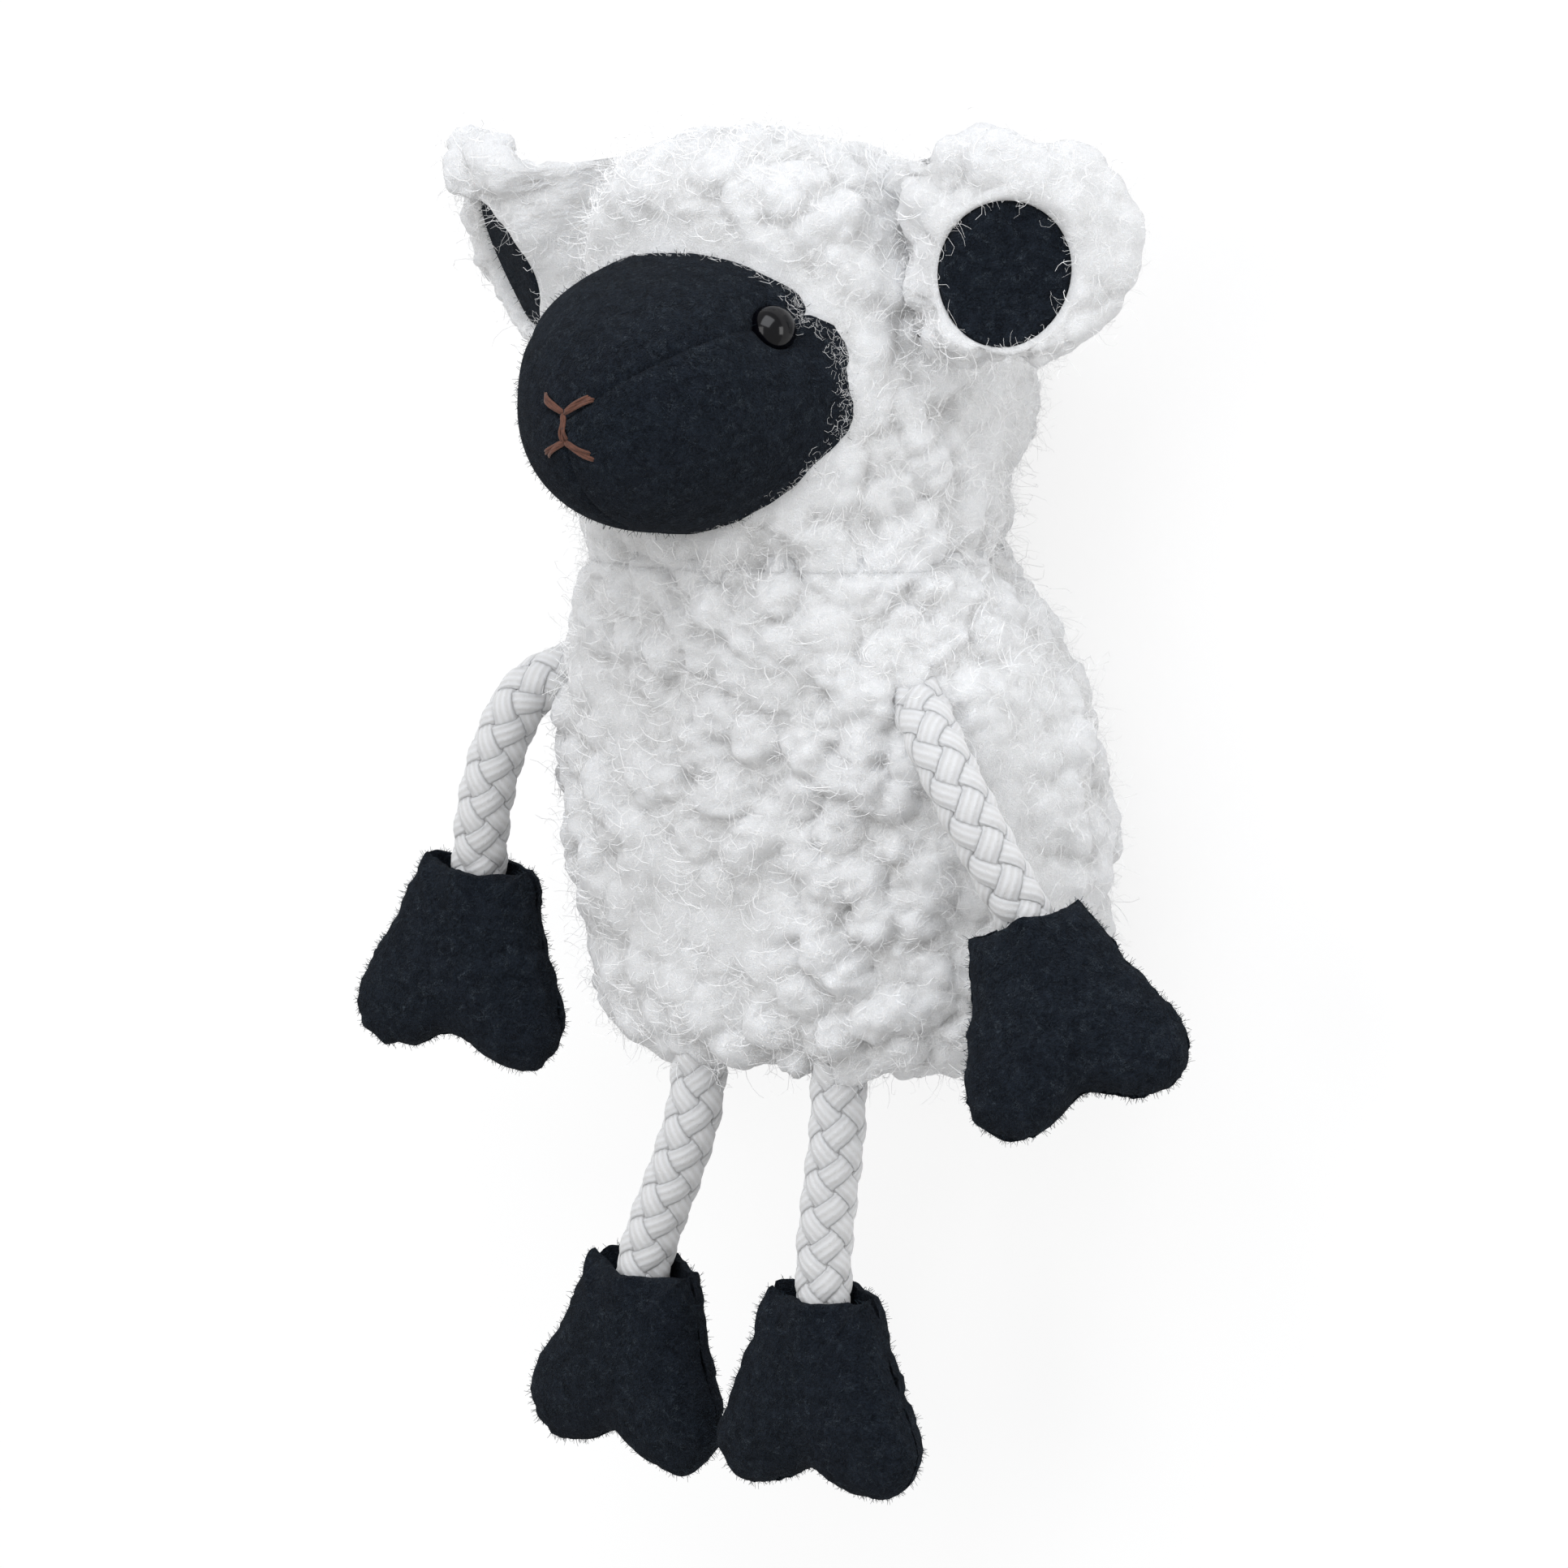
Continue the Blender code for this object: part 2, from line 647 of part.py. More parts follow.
def ear_outlines(side, count=28):
    """The ear's fleece and its felt lining, as two outlines with matching points."""
    angle = np.linspace(0.0, 2 * math.pi, count, endpoint=False)
    tip = 1 + 0.07 * np.maximum(0.0, np.cos(angle - math.radians(48))) ** 6
    reach = np.where(np.cos(angle) < 0, EAR_ROOT, EAR_RADIUS)
    fleece = tip[:, None] * np.stack([reach * np.cos(angle), EAR_RADIUS * np.sin(angle)], axis=1)
    pinch = 1 - 0.10 * np.maximum(0.0, np.cos(angle - math.radians(320))) ** 2
    halves = np.array([LINING_HALF_WIDTH, LINING_HALF_HEIGHT])
    lining = halves * np.stack([np.cos(angle), np.sin(angle)], axis=1)
    lining = lining * pinch[:, None] + np.array(LINING_SHIFT)
    return fleece * [side, 1], lining * [side, 1]


def widen(shape, amount):
    """An outline moved out from its middle by an amount."""
    middle = shape.mean(axis=0)
    away = shape - middle
    return shape + away / np.linalg.norm(away, axis=1, keepdims=True) * amount


def cupped(flat, height, side):
    """Points of the ear at a height over its plane: its tip curls forward, its root back."""
    flat = np.asarray(flat, dtype=float)
    curl = np.where(flat[..., 0] * side < 0, -EAR_ROOT_BEND, EAR_CUP)
    lift = curl * (flat[..., 0] / EAR_RADIUS) ** 2
    return np.stack([flat[..., 0], flat[..., 1], height + lift], axis=-1)


def ear_fleece(name, side):
    """The ear's fleece: thick behind, and rolled forward round the lining."""
    fleece, lining = ear_outlines(side)
    seat = widen(lining, SEAM_GAP)
    middle = lining.mean(axis=0)
    rows = [
        cupped(shape, np.full(len(seat), height), side)
        for shape, height in (
            (seat, -SEAM_GAP),
            (widen(seat, PILE_LEAN), 0.6 * EAR_PILE),
            (seat + 0.40 * (fleece - seat), EAR_PILE),
            (seat + 0.85 * (fleece - seat), 0.6 * EAR_PILE),
            (fleece, -0.25 * EAR_BACK_PILE),
            (0.82 * fleece, -0.85 * EAR_BACK_PILE),
            (0.45 * fleece, -EAR_BACK_PILE),
        )
    ]
    top = cupped(middle, -SEAM_GAP, side)
    rear = cupped((0.0, 0.0), -1.02 * EAR_BACK_PILE, side)
    mesh = mesh_from_rows(name, rows, top, rear, split=None)
    woolly = np.ones(len(mesh.vertices), dtype=bool)
    woolly[: 2 * len(seat)] = False
    woolly[-2] = False
    raise_tufts(mesh, woolly, EAR_TUFT_HEIGHT)
    face_outwards(mesh, "SHORT_EDGE")
    return mesh


def ear_lining(name, side):
    """The felt let into the front of the ear."""
    _, lining = ear_outlines(side)
    middle = lining.mean(axis=0)
    flat = np.zeros(len(lining))
    rows = [
        cupped(middle + share * (lining - middle), flat + height, side)
        for share, height in (
            (0.55, 0.0),
            (1.0, 0.0),
            (1.0, 0.75 * FELT_THICKNESS),
            (0.90, FELT_THICKNESS),
            (0.50, FELT_THICKNESS),
        )
    ]
    under, over = cupped(middle, 0.0, side), cupped(middle, FELT_THICKNESS, side)
    return mesh_from_rows(name, rows, under, over)


def ear_place(side):
    """The ear's frame: swept back from the side of the head.

    Its tip may be lifted, and its top folded forward over the lining.
    """
    spot = Vector((side * EAR_OUT, NECK_Y + EAR_ABOVE_NECK, EAR_HEIGHT))
    swept = Matrix.Rotation(side * EAR_SWEEP, 4, "Y")
    lifted = Matrix.Rotation(side * EAR_LIFT[side], 4, "Z")
    folded = Matrix.Rotation(EAR_FOLD[side], 4, "X")
    return Matrix.Translation(spot) @ swept @ lifted @ folded


def stitch_routes():
    """The mouth's five stitches as middle lines that follow the nose."""
    nose = face_point(0.9999, 0.0)

    def on_face(x, y):
        """The spot on the nose, x across from its middle and y above it."""
        rows = np.linspace(0.55, 0.9999, 220)
        angle = math.atan2(x, y) if x or y else 0.0
        ring = face_point(rows, angle, -(STITCH_RADIUS + SEAM_GAP))
        away = np.hypot(ring[:, 0], ring[:, 1] - nose[1])
        return ring[int(np.abs(away - math.hypot(x, y)).argmin())]

    low = -STITCH_TRUNK
    ends = [
        ((0.0, 0.0), (0.0, low)),
        ((0.0, 0.0), (STITCH_REACH, STITCH_RISE)),
        ((0.0, 0.0), (-STITCH_REACH, STITCH_RISE)),
        ((0.0, low), (STITCH_REACH, low - STITCH_RISE)),
        ((0.0, low), (-STITCH_REACH, low - STITCH_RISE)),
    ]
    for (x0, y0), (x1, y1) in ends:
        yield [on_face(x0 + (x1 - x0) * k / 4, y0 + (y1 - y0) * k / 4) for k in range(5)]


def build_fleece():
    """The sleeve with sockets for the limbs, and the head with room for its core."""
    body = link("body_fleece", body_mesh("body_fleece"), WHITE, 0.95)
    for key, limb in LIMBS.items():
        route = widen_start(limb_route(limb)[:5])
        room = tube_mesh(f"{key}_socket", route, CORD_RADIUS + SEAM_GAP, 10)
        cut(body, cutter(f"{key}_socket", room))
    link("head_fleece", head_mesh("head_fleece"), WHITE, 0.95)
    core = core_mesh("head_stuffing", FELT_THICKNESS + EYE_DIMPLE + SEAM_GAP, 0.0)
    link("head_stuffing", core, CREAM, 0.95)


def widen_start(route):
    """The same route, started one seam gap earlier."""
    back = route[0] - route[1]
    start = route[0] + back / np.linalg.norm(back) * SEAM_GAP
    return np.vstack([start, route[1:]])


def build_face():
    """Gusset and cheeks with holes for the eyes, the eyes and the mouth."""
    last = 2 * math.pi - GUSSET_ANGLE
    panels = [
        link(name, face_panel(name, start, end, columns), BLACK, 0.9)
        for name, start, end, columns in (
            ("face_gusset", -GUSSET_ANGLE, GUSSET_ANGLE, 11),
            ("face_cheek_left", GUSSET_ANGLE, math.pi, 12),
            ("face_cheek_right", math.pi, last, 12),
        )
    ]
    head = bpy.data.objects["head_fleece"]
    for name, side in (("left", 1), ("right", -1)):
        eye = link(f"eye_{name}", lathe(f"eye_{name}", eye_profile()), GLOSSY_BLACK, 0.06)
        eye.matrix_world = eye_place(side)
        room = lathe(f"eye_hole_{name}", eye_profile(SEAM_GAP))
        hole = cutter(f"eye_hole_{name}", room, eye_place(side))
        for obj in (*panels, head, bpy.data.objects["head_stuffing"]):
            cut(obj, hole)
    room = core_mesh("core_room", -SEAM_GAP, SEAM_GAP, FELT_TUCK)
    cut(head, cutter("core_room", room))
    first, *others = [
        tube_mesh("mouth_stitches", route, STITCH_RADIUS, 6) for route in stitch_routes()
    ]
    mouth = link("mouth_stitches", first, RUST, 0.8)
    for k, mesh in enumerate(others):
        cut(mouth, cutter(f"mouth_stitch_{k}", mesh), "UNION")


def build_ears():
    """Each ear's fleece, trimmed to the side of the head, and its lining."""
    trim = cutter("head_side", head_mesh("head_side", SEAM_GAP))
    for word, side in (("left", 1), ("right", -1)):
        name = f"ear_{word}_fleece"
        fleece = link(name, ear_fleece(name, side), WHITE, 0.95)
        fleece.matrix_world = ear_place(side)
        cut(fleece, trim)
        name = f"ear_{word}_lining"
        lining = link(name, ear_lining(name, side), BLACK, 0.9)
        lining.matrix_world = ear_place(side)


def build_limbs():
    """Four cords, and the two felt panels of the hoof on each."""
    for key, limb in LIMBS.items():
        cord(f"{key}_cord", limb_route(limb))
        place = hoof_place(limb)
        for face, lip, turn in (("front", -LIP_STEP, 0.0), ("back", LIP_STEP, math.pi)):
            name = f"{limb['hoof']}_{face}_panel"
            panel = link(name, hoof_panel(name, lip), BLACK, 0.9)
            panel.matrix_world = place @ Matrix.Rotation(turn, 4, "Y")


def main():
    for obj in list(bpy.data.objects):
        bpy.data.objects.remove(obj)
    build_fleece()
    build_face()
    build_ears()
    build_limbs()


main()
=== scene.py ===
# %% [markdown]
# # A woolly sheep for one finger
#
# The puppet lies on its back on a pale table. Its sleeve, head and ears are curly
# fleece, its face, ear linings and hooves are black felt, and its limbs are short
# braided cords. The solids that carry all this come in as a fixed frame, and each
# step below dresses some of them in a finer surface of the same form.

# %% Load the frame
import math

import bpy
import numpy as np
from mathutils import Matrix, Vector


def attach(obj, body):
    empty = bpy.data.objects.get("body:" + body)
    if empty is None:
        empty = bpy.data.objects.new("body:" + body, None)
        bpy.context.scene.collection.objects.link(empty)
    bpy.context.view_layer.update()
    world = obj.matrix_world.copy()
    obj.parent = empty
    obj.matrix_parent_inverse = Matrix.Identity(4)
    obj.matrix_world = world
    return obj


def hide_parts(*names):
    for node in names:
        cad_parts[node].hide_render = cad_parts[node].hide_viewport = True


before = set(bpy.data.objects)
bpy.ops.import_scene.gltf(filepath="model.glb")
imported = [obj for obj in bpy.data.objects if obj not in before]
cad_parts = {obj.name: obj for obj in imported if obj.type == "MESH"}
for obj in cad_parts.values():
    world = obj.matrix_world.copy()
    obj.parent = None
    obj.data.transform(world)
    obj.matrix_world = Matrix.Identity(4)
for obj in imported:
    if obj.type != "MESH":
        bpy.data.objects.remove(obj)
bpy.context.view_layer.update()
print("nodes in the frame:", len(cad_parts))

# %% [markdown]
# ## Camera
#
# The photograph looks at the standing puppet from its left and from a little above,
# through a long lens. The puppet lies down here, so the same view looks down on it:
# the way to the camera keeps its angles to the puppet's own axes.

# %% Camera
VIEW_YAW = math.radians(38)
VIEW_RISE = math.radians(6)
VIEW_DISTANCE = 1.0
VIEW_WIDTH = 0.1652
VIEW_CENTRE = Vector((-0.00095, 0.0030, 0.02674))

to_camera = Vector((
    math.sin(VIEW_YAW) * math.cos(VIEW_RISE),
    math.sin(VIEW_RISE),
    math.cos(VIEW_YAW) * math.cos(VIEW_RISE),
))
view_right = Vector((math.cos(VIEW_YAW), 0.0, -math.sin(VIEW_YAW)))
view_up = to_camera.cross(view_right)


def looking(spot, right, up, back):
    """The placing of a camera or lamp: its own X, Y and Z axes and where it stands."""
    place = Matrix((right, up, back)).transposed().to_4x4()
    place.translation = spot
    return place


lens = bpy.data.cameras.new("camera")
lens.sensor_width = 36.0
lens.lens = 36.0 * VIEW_DISTANCE / VIEW_WIDTH
lens.clip_end = 10.0
camera = bpy.data.objects.new("camera", lens)
camera.matrix_world = looking(
    VIEW_CENTRE + to_camera * VIEW_DISTANCE, view_right, view_up, to_camera
)
bpy.context.collection.objects.link(camera)
bpy.context.scene.camera = camera
print("lens:", round(lens.lens), "mm")

# %% [markdown]
# ## Writing materials as sums
#
# A shader graph is arithmetic on colours and numbers. Wrapping a socket in a small
# class that knows + - * and ** lets each material be written as an expression, and
# one method makes every other kind of node.


# %% Shader arithmetic
class Wire:
    """A node's output that can be added, subtracted, multiplied and raised."""

    def __init__(self, shop, socket):
        self.shop = shop
        self.socket = socket

    def maths(self, operation, first, second):
        node = self.shop.node("ShaderNodeMath", {"operation": operation}, {0: first, 1: second})
        return node.out()

    def __add__(self, other):
        return self.maths("ADD", self, other)

    def __sub__(self, other):
        return self.maths("SUBTRACT", self, other)

    def __rsub__(self, other):
        return self.maths("SUBTRACT", other, self)

    def __mul__(self, other):
        return self.maths("MULTIPLY", self, other)

    def __pow__(self, other):
        return self.maths("POWER", self, other)

    __radd__ = __add__
    __rmul__ = __mul__


class Made:
    """A node just made, whose outputs are asked for by name or number."""

    def __init__(self, shop, node):
        self.shop = shop
        self.node = node

    def out(self, key=0):
        return Wire(self.shop, self.node.outputs[key])


class Shop:
    """Makes the nodes of one material."""

    def __init__(self, name):
        self.material = bpy.data.materials.new(name)
        self.material.use_nodes = True
        self.tree = self.material.node_tree
        self.shader = self.tree.nodes["Principled BSDF"]

    def node(self, kind, settings=None, inputs=None):
        made = self.tree.nodes.new(kind)
        for key, value in (settings or {}).items():
            setattr(made, key, value)
        self.feed(made, inputs or {})
        return Made(self, made)

    def feed(self, node, inputs):
        for key, value in inputs.items():
            if isinstance(value, Wire):
                self.tree.links.new(value.socket, node.inputs[key])
            else:
                node.inputs[key].default_value = value

    def finish(self, **inputs):
        self.feed(self.shader, {key.replace("_", " "): value for key, value in inputs.items()})
        return self.material

    def place(self):
        return self.node("ShaderNodeTexCoord").out("Object")

    def noise(self, scale, detail=2.0, distortion=0.0):
        inputs = {"Scale": scale, "Detail": detail, "Distortion": distortion}
        inputs["Vector"] = self.place()
        return self.node("ShaderNodeTexNoise", None, inputs).out("Fac")

    def mix(self, share, first, second):
        """A colour between two colours."""
        mixed = self.node(
            "ShaderNodeMix",
            {"data_type": "RGBA", "clamp_factor": True},
            {"Factor": share, 6: first, 7: second},
        )
        return mixed.out(2)

    def bump(self, height, distance, strength=1.0):
        inputs = {"Height": height, "Distance": distance, "Strength": strength}
        return self.node("ShaderNodeBump", None, inputs).out("Normal")

    def attribute(self, name):
        return self.node("ShaderNodeAttribute", {"attribute_name": name}).out("Fac")

    def between(self, value, low, high):
        """Zero up to low, one from high, and straight in between."""
        return self.node("ShaderNodeMapRange", None, {"Value": value, 1: low, 2: high}).out()

    def hairs(self, scale, twist, thinness):
        """Thin curled lines, drawn where a distorted noise passes through its middle value."""
        past = self.noise(scale, 2.0, twist) - 0.5
        off = self.node("ShaderNodeMath", {"operation": "ABSOLUTE"}, {0: past}).out()
        return self.between(1.0 - thinness * off, 0.0, 1.0)


# %% [markdown]
# ## Fleece, felt, cord, bead and thread
#
# Fleece is white all through, so what shows is its shape, and shade is painted into
# its colour too: the valleys between the curls are painted warmer and darker as
# shade, and fine fibres cross everywhere, paler than the painted shade of the ground
# between them. The fibres are drawn as thin ridges, where a distorted noise passes
# through its middle value. Felt is the opposite, nearly black with a pressed, mottled
# nap and a few pale specks.

# %% Materials
SOFT_WOOL = {
    "Specular_IOR_Level": 0.1,
    "Sheen_Weight": 0.1,
    "Subsurface_Weight": 0.5,
    "Subsurface_Scale": 0.0015,
    "Subsurface_Radius": (1.0, 0.96, 0.92),
}


def fleece_material():
    """White wool with painted shade: warmer and darker in the valleys, crossed by three sizes of
    curled lines for its fibres.
    """
    shop = Shop("fleece")
    depth = shop.attribute("tip")
    lines = 0.5 * shop.hairs(560.0, 3.2, 22.0) + 0.6 * shop.hairs(1150.0, 2.8, 14.0)
    lines = lines + 0.6 * shop.hairs(2100.0, 2.2, 9.0)
    fine = shop.noise(3300.0, 2.0, 1.4)
    # Painted shade: where the tip attribute is low, in the valleys between the curls, the ground is
    # coloured darker and warmer.
    ground = shop.mix(depth, (0.68, 0.675, 0.665, 1.0), (0.835, 0.84, 0.85, 1.0))
    # The fibre lines are a pattern of the wool and are paler than this ground, so the gaps between
    # them carry painted shade.
    colour = shop.mix(lines * 0.7, ground, (0.925, 0.925, 0.93, 1.0))
    relief = shop.bump(lines + 0.5 * fine, 0.00024, 0.75)
    return shop.finish(Base_Color=colour, Roughness=1.0, Normal=relief, **SOFT_WOOL)


def fibre_material():
    """A single fibre of the same wool, a little lighter at some places than others."""
    shop = Shop("fleece_fibre")
    tone = shop.noise(300.0, 2.0)
    colour = shop.mix(tone, (0.85, 0.845, 0.835, 1.0), (0.96, 0.96, 0.965, 1.0))
    return shop.finish(Base_Color=colour, Roughness=0.8, Specular_IOR_Level=0.2, Sheen_Weight=0.1)


def felt_material():
    """Blue black felt: mottled, with a fine nap and pale hairs caught in it."""
    shop = Shop("felt")
    mottle = shop.noise(650.0, 3.0, 0.8)
    grain = shop.noise(1900.0, 2.0, 1.8)
    nap = shop.noise(4200.0, 2.0, 1.6)
    patchy = shop.between(0.4 * mottle + 0.6 * grain, 0.36, 0.64)
    ground = shop.mix(patchy, (0.0030, 0.0052, 0.0092, 1.0), (0.0150, 0.0210, 0.0310, 1.0))
    lint = shop.hairs(1300.0, 3.0, 20.0) * shop.between(shop.noise(760.0, 2.0, 1.0), 0.52, 0.66)
    colour = shop.mix(0.75 * lint, ground, (0.060, 0.075, 0.090, 1.0))
    relief = shop.bump(nap + 1.4 * grain + mottle, 0.00050, 1.0)
    return shop.finish(
        Base_Color=colour, Roughness=1.0, Normal=relief, Sheen_Weight=0.022, Specular_IOR_Level=0.06
    )


def fuzz_material():
    """Loose hairs on the felt, some of them paler."""
    shop = Shop("felt_fuzz")
    tone = shop.noise(500.0, 2.0)
    colour = shop.mix(tone**2.0, (0.003, 0.006, 0.010, 1.0), (0.050, 0.070, 0.088, 1.0))
    return shop.finish(Base_Color=colour, Roughness=0.9, Specular_IOR_Level=0.15)


def cord_material():
    """White cotton: each strand is a bundle of fine yarns laid side by side, with painted shade in
    the grooves between the yarns.
    """
    shop = Shop("limb_cord")
    flat = shop.node("ShaderNodeUVMap", {"uv_map": "strand"}).out()
    across = shop.node("ShaderNodeSeparateXYZ", None, {0: flat}).out("X")
    rough = shop.noise(2800.0, 3.0, 1.2)
    turn = across * (2 * math.pi * YARNS) + rough * 1.5
    yarns = shop.node("ShaderNodeMath", {"operation": "SINE"}, {0: turn}).out() * 0.5 + 0.5
    # Painted shade: the grooves between the yarns, where the sine is low, are coloured darker.
    colour = shop.mix(yarns, (0.565, 0.56, 0.555, 1.0), (0.63, 0.63, 0.635, 1.0))
    relief = shop.bump(yarns + rough * 1.2, 0.00008, 0.7)
    return shop.finish(Base_Color=colour, Roughness=0.95, Normal=relief, **SOFT_WOOL)


def bead_material():
    """Glossy black plastic."""
    shop = Shop("eye_bead")
    return shop.finish(
        Base_Color=(0.001, 0.001, 0.002, 1.0), Roughness=0.15, Specular_IOR_Level=0.22,
        Coat_Weight=0.15, Coat_Roughness=0.08,
    )


def thread_material():
    """Rust brown sewing thread."""
    shop = Shop("mouth_thread")
    tone = shop.noise(3000.0, 2.0)
    colour = shop.mix(tone, (0.042, 0.014, 0.008, 1.0), (0.135, 0.046, 0.024, 1.0))
    return shop.finish(Base_Color=colour, Roughness=0.8, Sheen_Weight=0.1)


YARNS = 5
FLEECE = fleece_material()
FIBRE = fibre_material()
FELT = felt_material()
FUZZ = fuzz_material()
CORD = cord_material()
BEAD = bead_material()
THREAD = thread_material()
print("materials:", len(bpy.data.materials))

# %% [markdown]
# ## Surfaces from grids
#
# Every new piece is a grid of points worked out as whole arrays: rows along the
# piece and columns round it. These helpers turn such a grid into a closed mesh with
# its faces pointing out, and work out which way each of its points faces.

# %% Grid helpers
SHARP_ANGLE = math.radians(80)


def make_mesh(name, points, quads, triangles=()):
    """A mesh from arrays of points, four-cornered faces and three-cornered faces."""
    mesh = bpy.data.meshes.new(name)
    corners = np.concatenate([np.ravel(quads), np.ravel(triangles)]).astype(np.int32)
    sizes = np.concatenate([np.full(len(quads), 4), np.full(len(triangles), 3)])
    starts = np.cumsum(sizes) - sizes
    mesh.vertices.add(len(points))
    mesh.vertices.foreach_set("co", np.ravel(points).astype(np.float32))
    mesh.loops.add(len(corners))
    mesh.loops.foreach_set("vertex_index", corners)
    mesh.polygons.add(len(sizes))
    mesh.polygons.foreach_set("loop_start", starts.astype(np.int32))
    mesh.update(calc_edges=True)
    mesh.validate()
    mesh.shade_smooth()
    mesh.set_sharp_from_angle(angle=SHARP_ANGLE)
    return mesh


def grid_faces(rows, columns):
    """Corner numbers of the faces between neighbouring rows, closed round the columns."""
    here = np.arange(rows * columns).reshape(rows, columns)
    after = np.roll(here, -1, axis=1)
    return np.stack([here[:-1], after[:-1], after[1:], here[1:]], axis=-1).reshape(-1, 4)


def volume_sign(points, quads):
    """Above zero when the faces point out: the sum of the faces' signed pyramids."""
    a, b, c, d = (points[quads[:, k]] for k in range(4))
    return np.sum(np.cross(b - a, c - a) * a) + np.sum(np.cross(c - a, d - a) * a)


def closed_skin(name, grid, first, last, material, **attributes):
    """A closed piece: rings of points, with a fan to one point at each end."""
    rows, columns = grid.shape[:2]
    points = np.concatenate([grid.reshape(-1, 3), [first, last]])
    quads = grid_faces(rows, columns)
    ring = np.arange(columns)
    after = np.roll(ring, -1)
    base = (rows - 1) * columns
    start = np.stack([after, ring, np.full(columns, rows * columns)], axis=1)
    end = np.stack([base + ring, base + after, np.full(columns, rows * columns + 1)], axis=1)
    triangles = np.concatenate([start, end])
    if volume_sign(points, quads) < 0:
        quads, triangles = quads[:, ::-1], triangles[:, ::-1]
    mesh = make_mesh(name, points, quads, triangles)
    for key, values in attributes.items():
        layer = mesh.attributes.new(key, "FLOAT", "POINT")
        layer.data.foreach_set("value", np.append(np.ravel(values), [0.5, 0.5]).astype(np.float32))
    return put(name, mesh, material)


added = {}


def put(name, mesh, material):
    """Place a mesh in the scene, riding with the puppet's one body."""
    piece = bpy.data.objects.new(name, mesh)
    bpy.context.collection.objects.link(piece)
    mesh.materials.append(material)
    added[name] = sum(len(face.vertices) - 2 for face in mesh.polygons)
    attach(piece, "root")
    return piece


def unit(vectors):
    return vectors / np.maximum(np.linalg.norm(vectors, axis=-1, keepdims=True), 1e-12)


def full_turn(count):
    """Even angles round a circle, up to the one before the first comes again."""
    return np.linspace(0.0, 2 * math.pi, count, endpoint=False)


def walked_along(line):
    """How far along a line each of its points is."""
    return np.append(0.0, np.cumsum(np.linalg.norm(np.diff(line, axis=0), axis=1)))


def placed(grid, matrix):
    """The grid's points, turned and moved by a matrix."""
    return grid @ np.array(matrix.to_3x3()).T + np.array(matrix.translation)


def outward(grid):
    """Which way each point faces: square to its row and column, and away from the middle."""
    along = np.gradient(grid, axis=0)
    around = np.roll(grid, -1, axis=1) - np.roll(grid, 1, axis=1)
    normal = unit(np.cross(around, along))
    away = grid - grid.mean(axis=(0, 1))
    return normal * (-1.0 if np.sum(normal * away) < 0 else 1.0)


def through(stations, count):
    """Rows on a smooth curve through the stations, at even steps of its length."""
    knots = np.asarray(stations, dtype=float)
    padded = np.vstack([2 * knots[0] - knots[1], knots, 2 * knots[-1] - knots[-2]])
    t = np.linspace(0.0, 1.0, 24, endpoint=False)[:, None]
    bend = []
    for before, start, end, after in zip(padded, padded[1:], padded[2:], padded[3:]):
        cubic = 3 * start - before - 3 * end + after
        square = 2 * before - 5 * start + 4 * end - after
        bend.append(0.5 * (2 * start + (end - before) * t + square * t**2 + cubic * t**3))
    line = np.vstack([*bend, knots[-1:]])
    walked = walked_along(line)
    steps = np.linspace(0.0, walked[-1], count)
    return np.stack([np.interp(steps, walked, column) for column in line.T], axis=1)


# %% [markdown]
# ## Curls from strewn points
#
# A curly pile is a crowd of round tufts. Space is cut into cubes with one seed at a
# random place in each, and a point of the fleece rises the closer it is to its
# nearest seed, which gives domes with creases between them. Four sizes of cube give
# swells, tufts, curls and nubs, and the curls are half balls with steep sides.

# %% Tufts


def scattered(cubes, seed):
    """Three steady random numbers from 0 to 1 for each cube of space."""
    mixed = cubes @ np.array([[127.1, 269.5, 113.5], [311.7, 183.3, 271.9], [74.7, 246.1, 124.6]])
    return np.modf(np.abs(np.sin(mixed + seed) * 43758.5453))[0]


def seeds_near(points, size, seed, melt=14.0):
    """The squared distance to the nearest seed in cubes, taken smoothly, and the way to it.

    Of the sum of exp(-melt times the squared distance) over the 27 seeds around, the
    nearest has nearly all, and the logarithm gives its distance back, melted into the
    next one's where two seeds are as near.
    """
    scaled = points.reshape(-1, 3) / size
    home = np.floor(scaled)
    total = np.full(len(scaled), 1e-12)
    pull = np.zeros_like(scaled)
    for step in np.ndindex(3, 3, 3):
        cube = home + np.array(step) - 1
        gap = cube + scattered(cube, seed) - scaled
        weight = np.exp(-melt * np.sum(gap * gap, axis=1))
        total += weight
        pull += weight[:, None] * gap
    shape = points.shape
    return (-np.log(total) / melt).reshape(shape[:-1]), (pull / total[:, None]).reshape(shape)


# The squared distance from a seed, in cubes, at which a dome is at zero and a ball ends
DOME_REACH, BALL_REACH = 0.32, 0.40


def domes(points, size, seed):
    """One on a seed and falling with the square of the distance, to below zero between."""
    return np.clip(1.0 - seeds_near(points, size, seed)[0] / DOME_REACH, -1.0, 1.0)


def balls(points, size, seed):
    """Half balls of height two round the seeds, on a flat ground at minus one."""
    inside = np.clip(1.0 - seeds_near(points, size, seed)[0] / BALL_REACH, 0.0, 1.0)
    return 2 * np.sqrt(inside) - 1


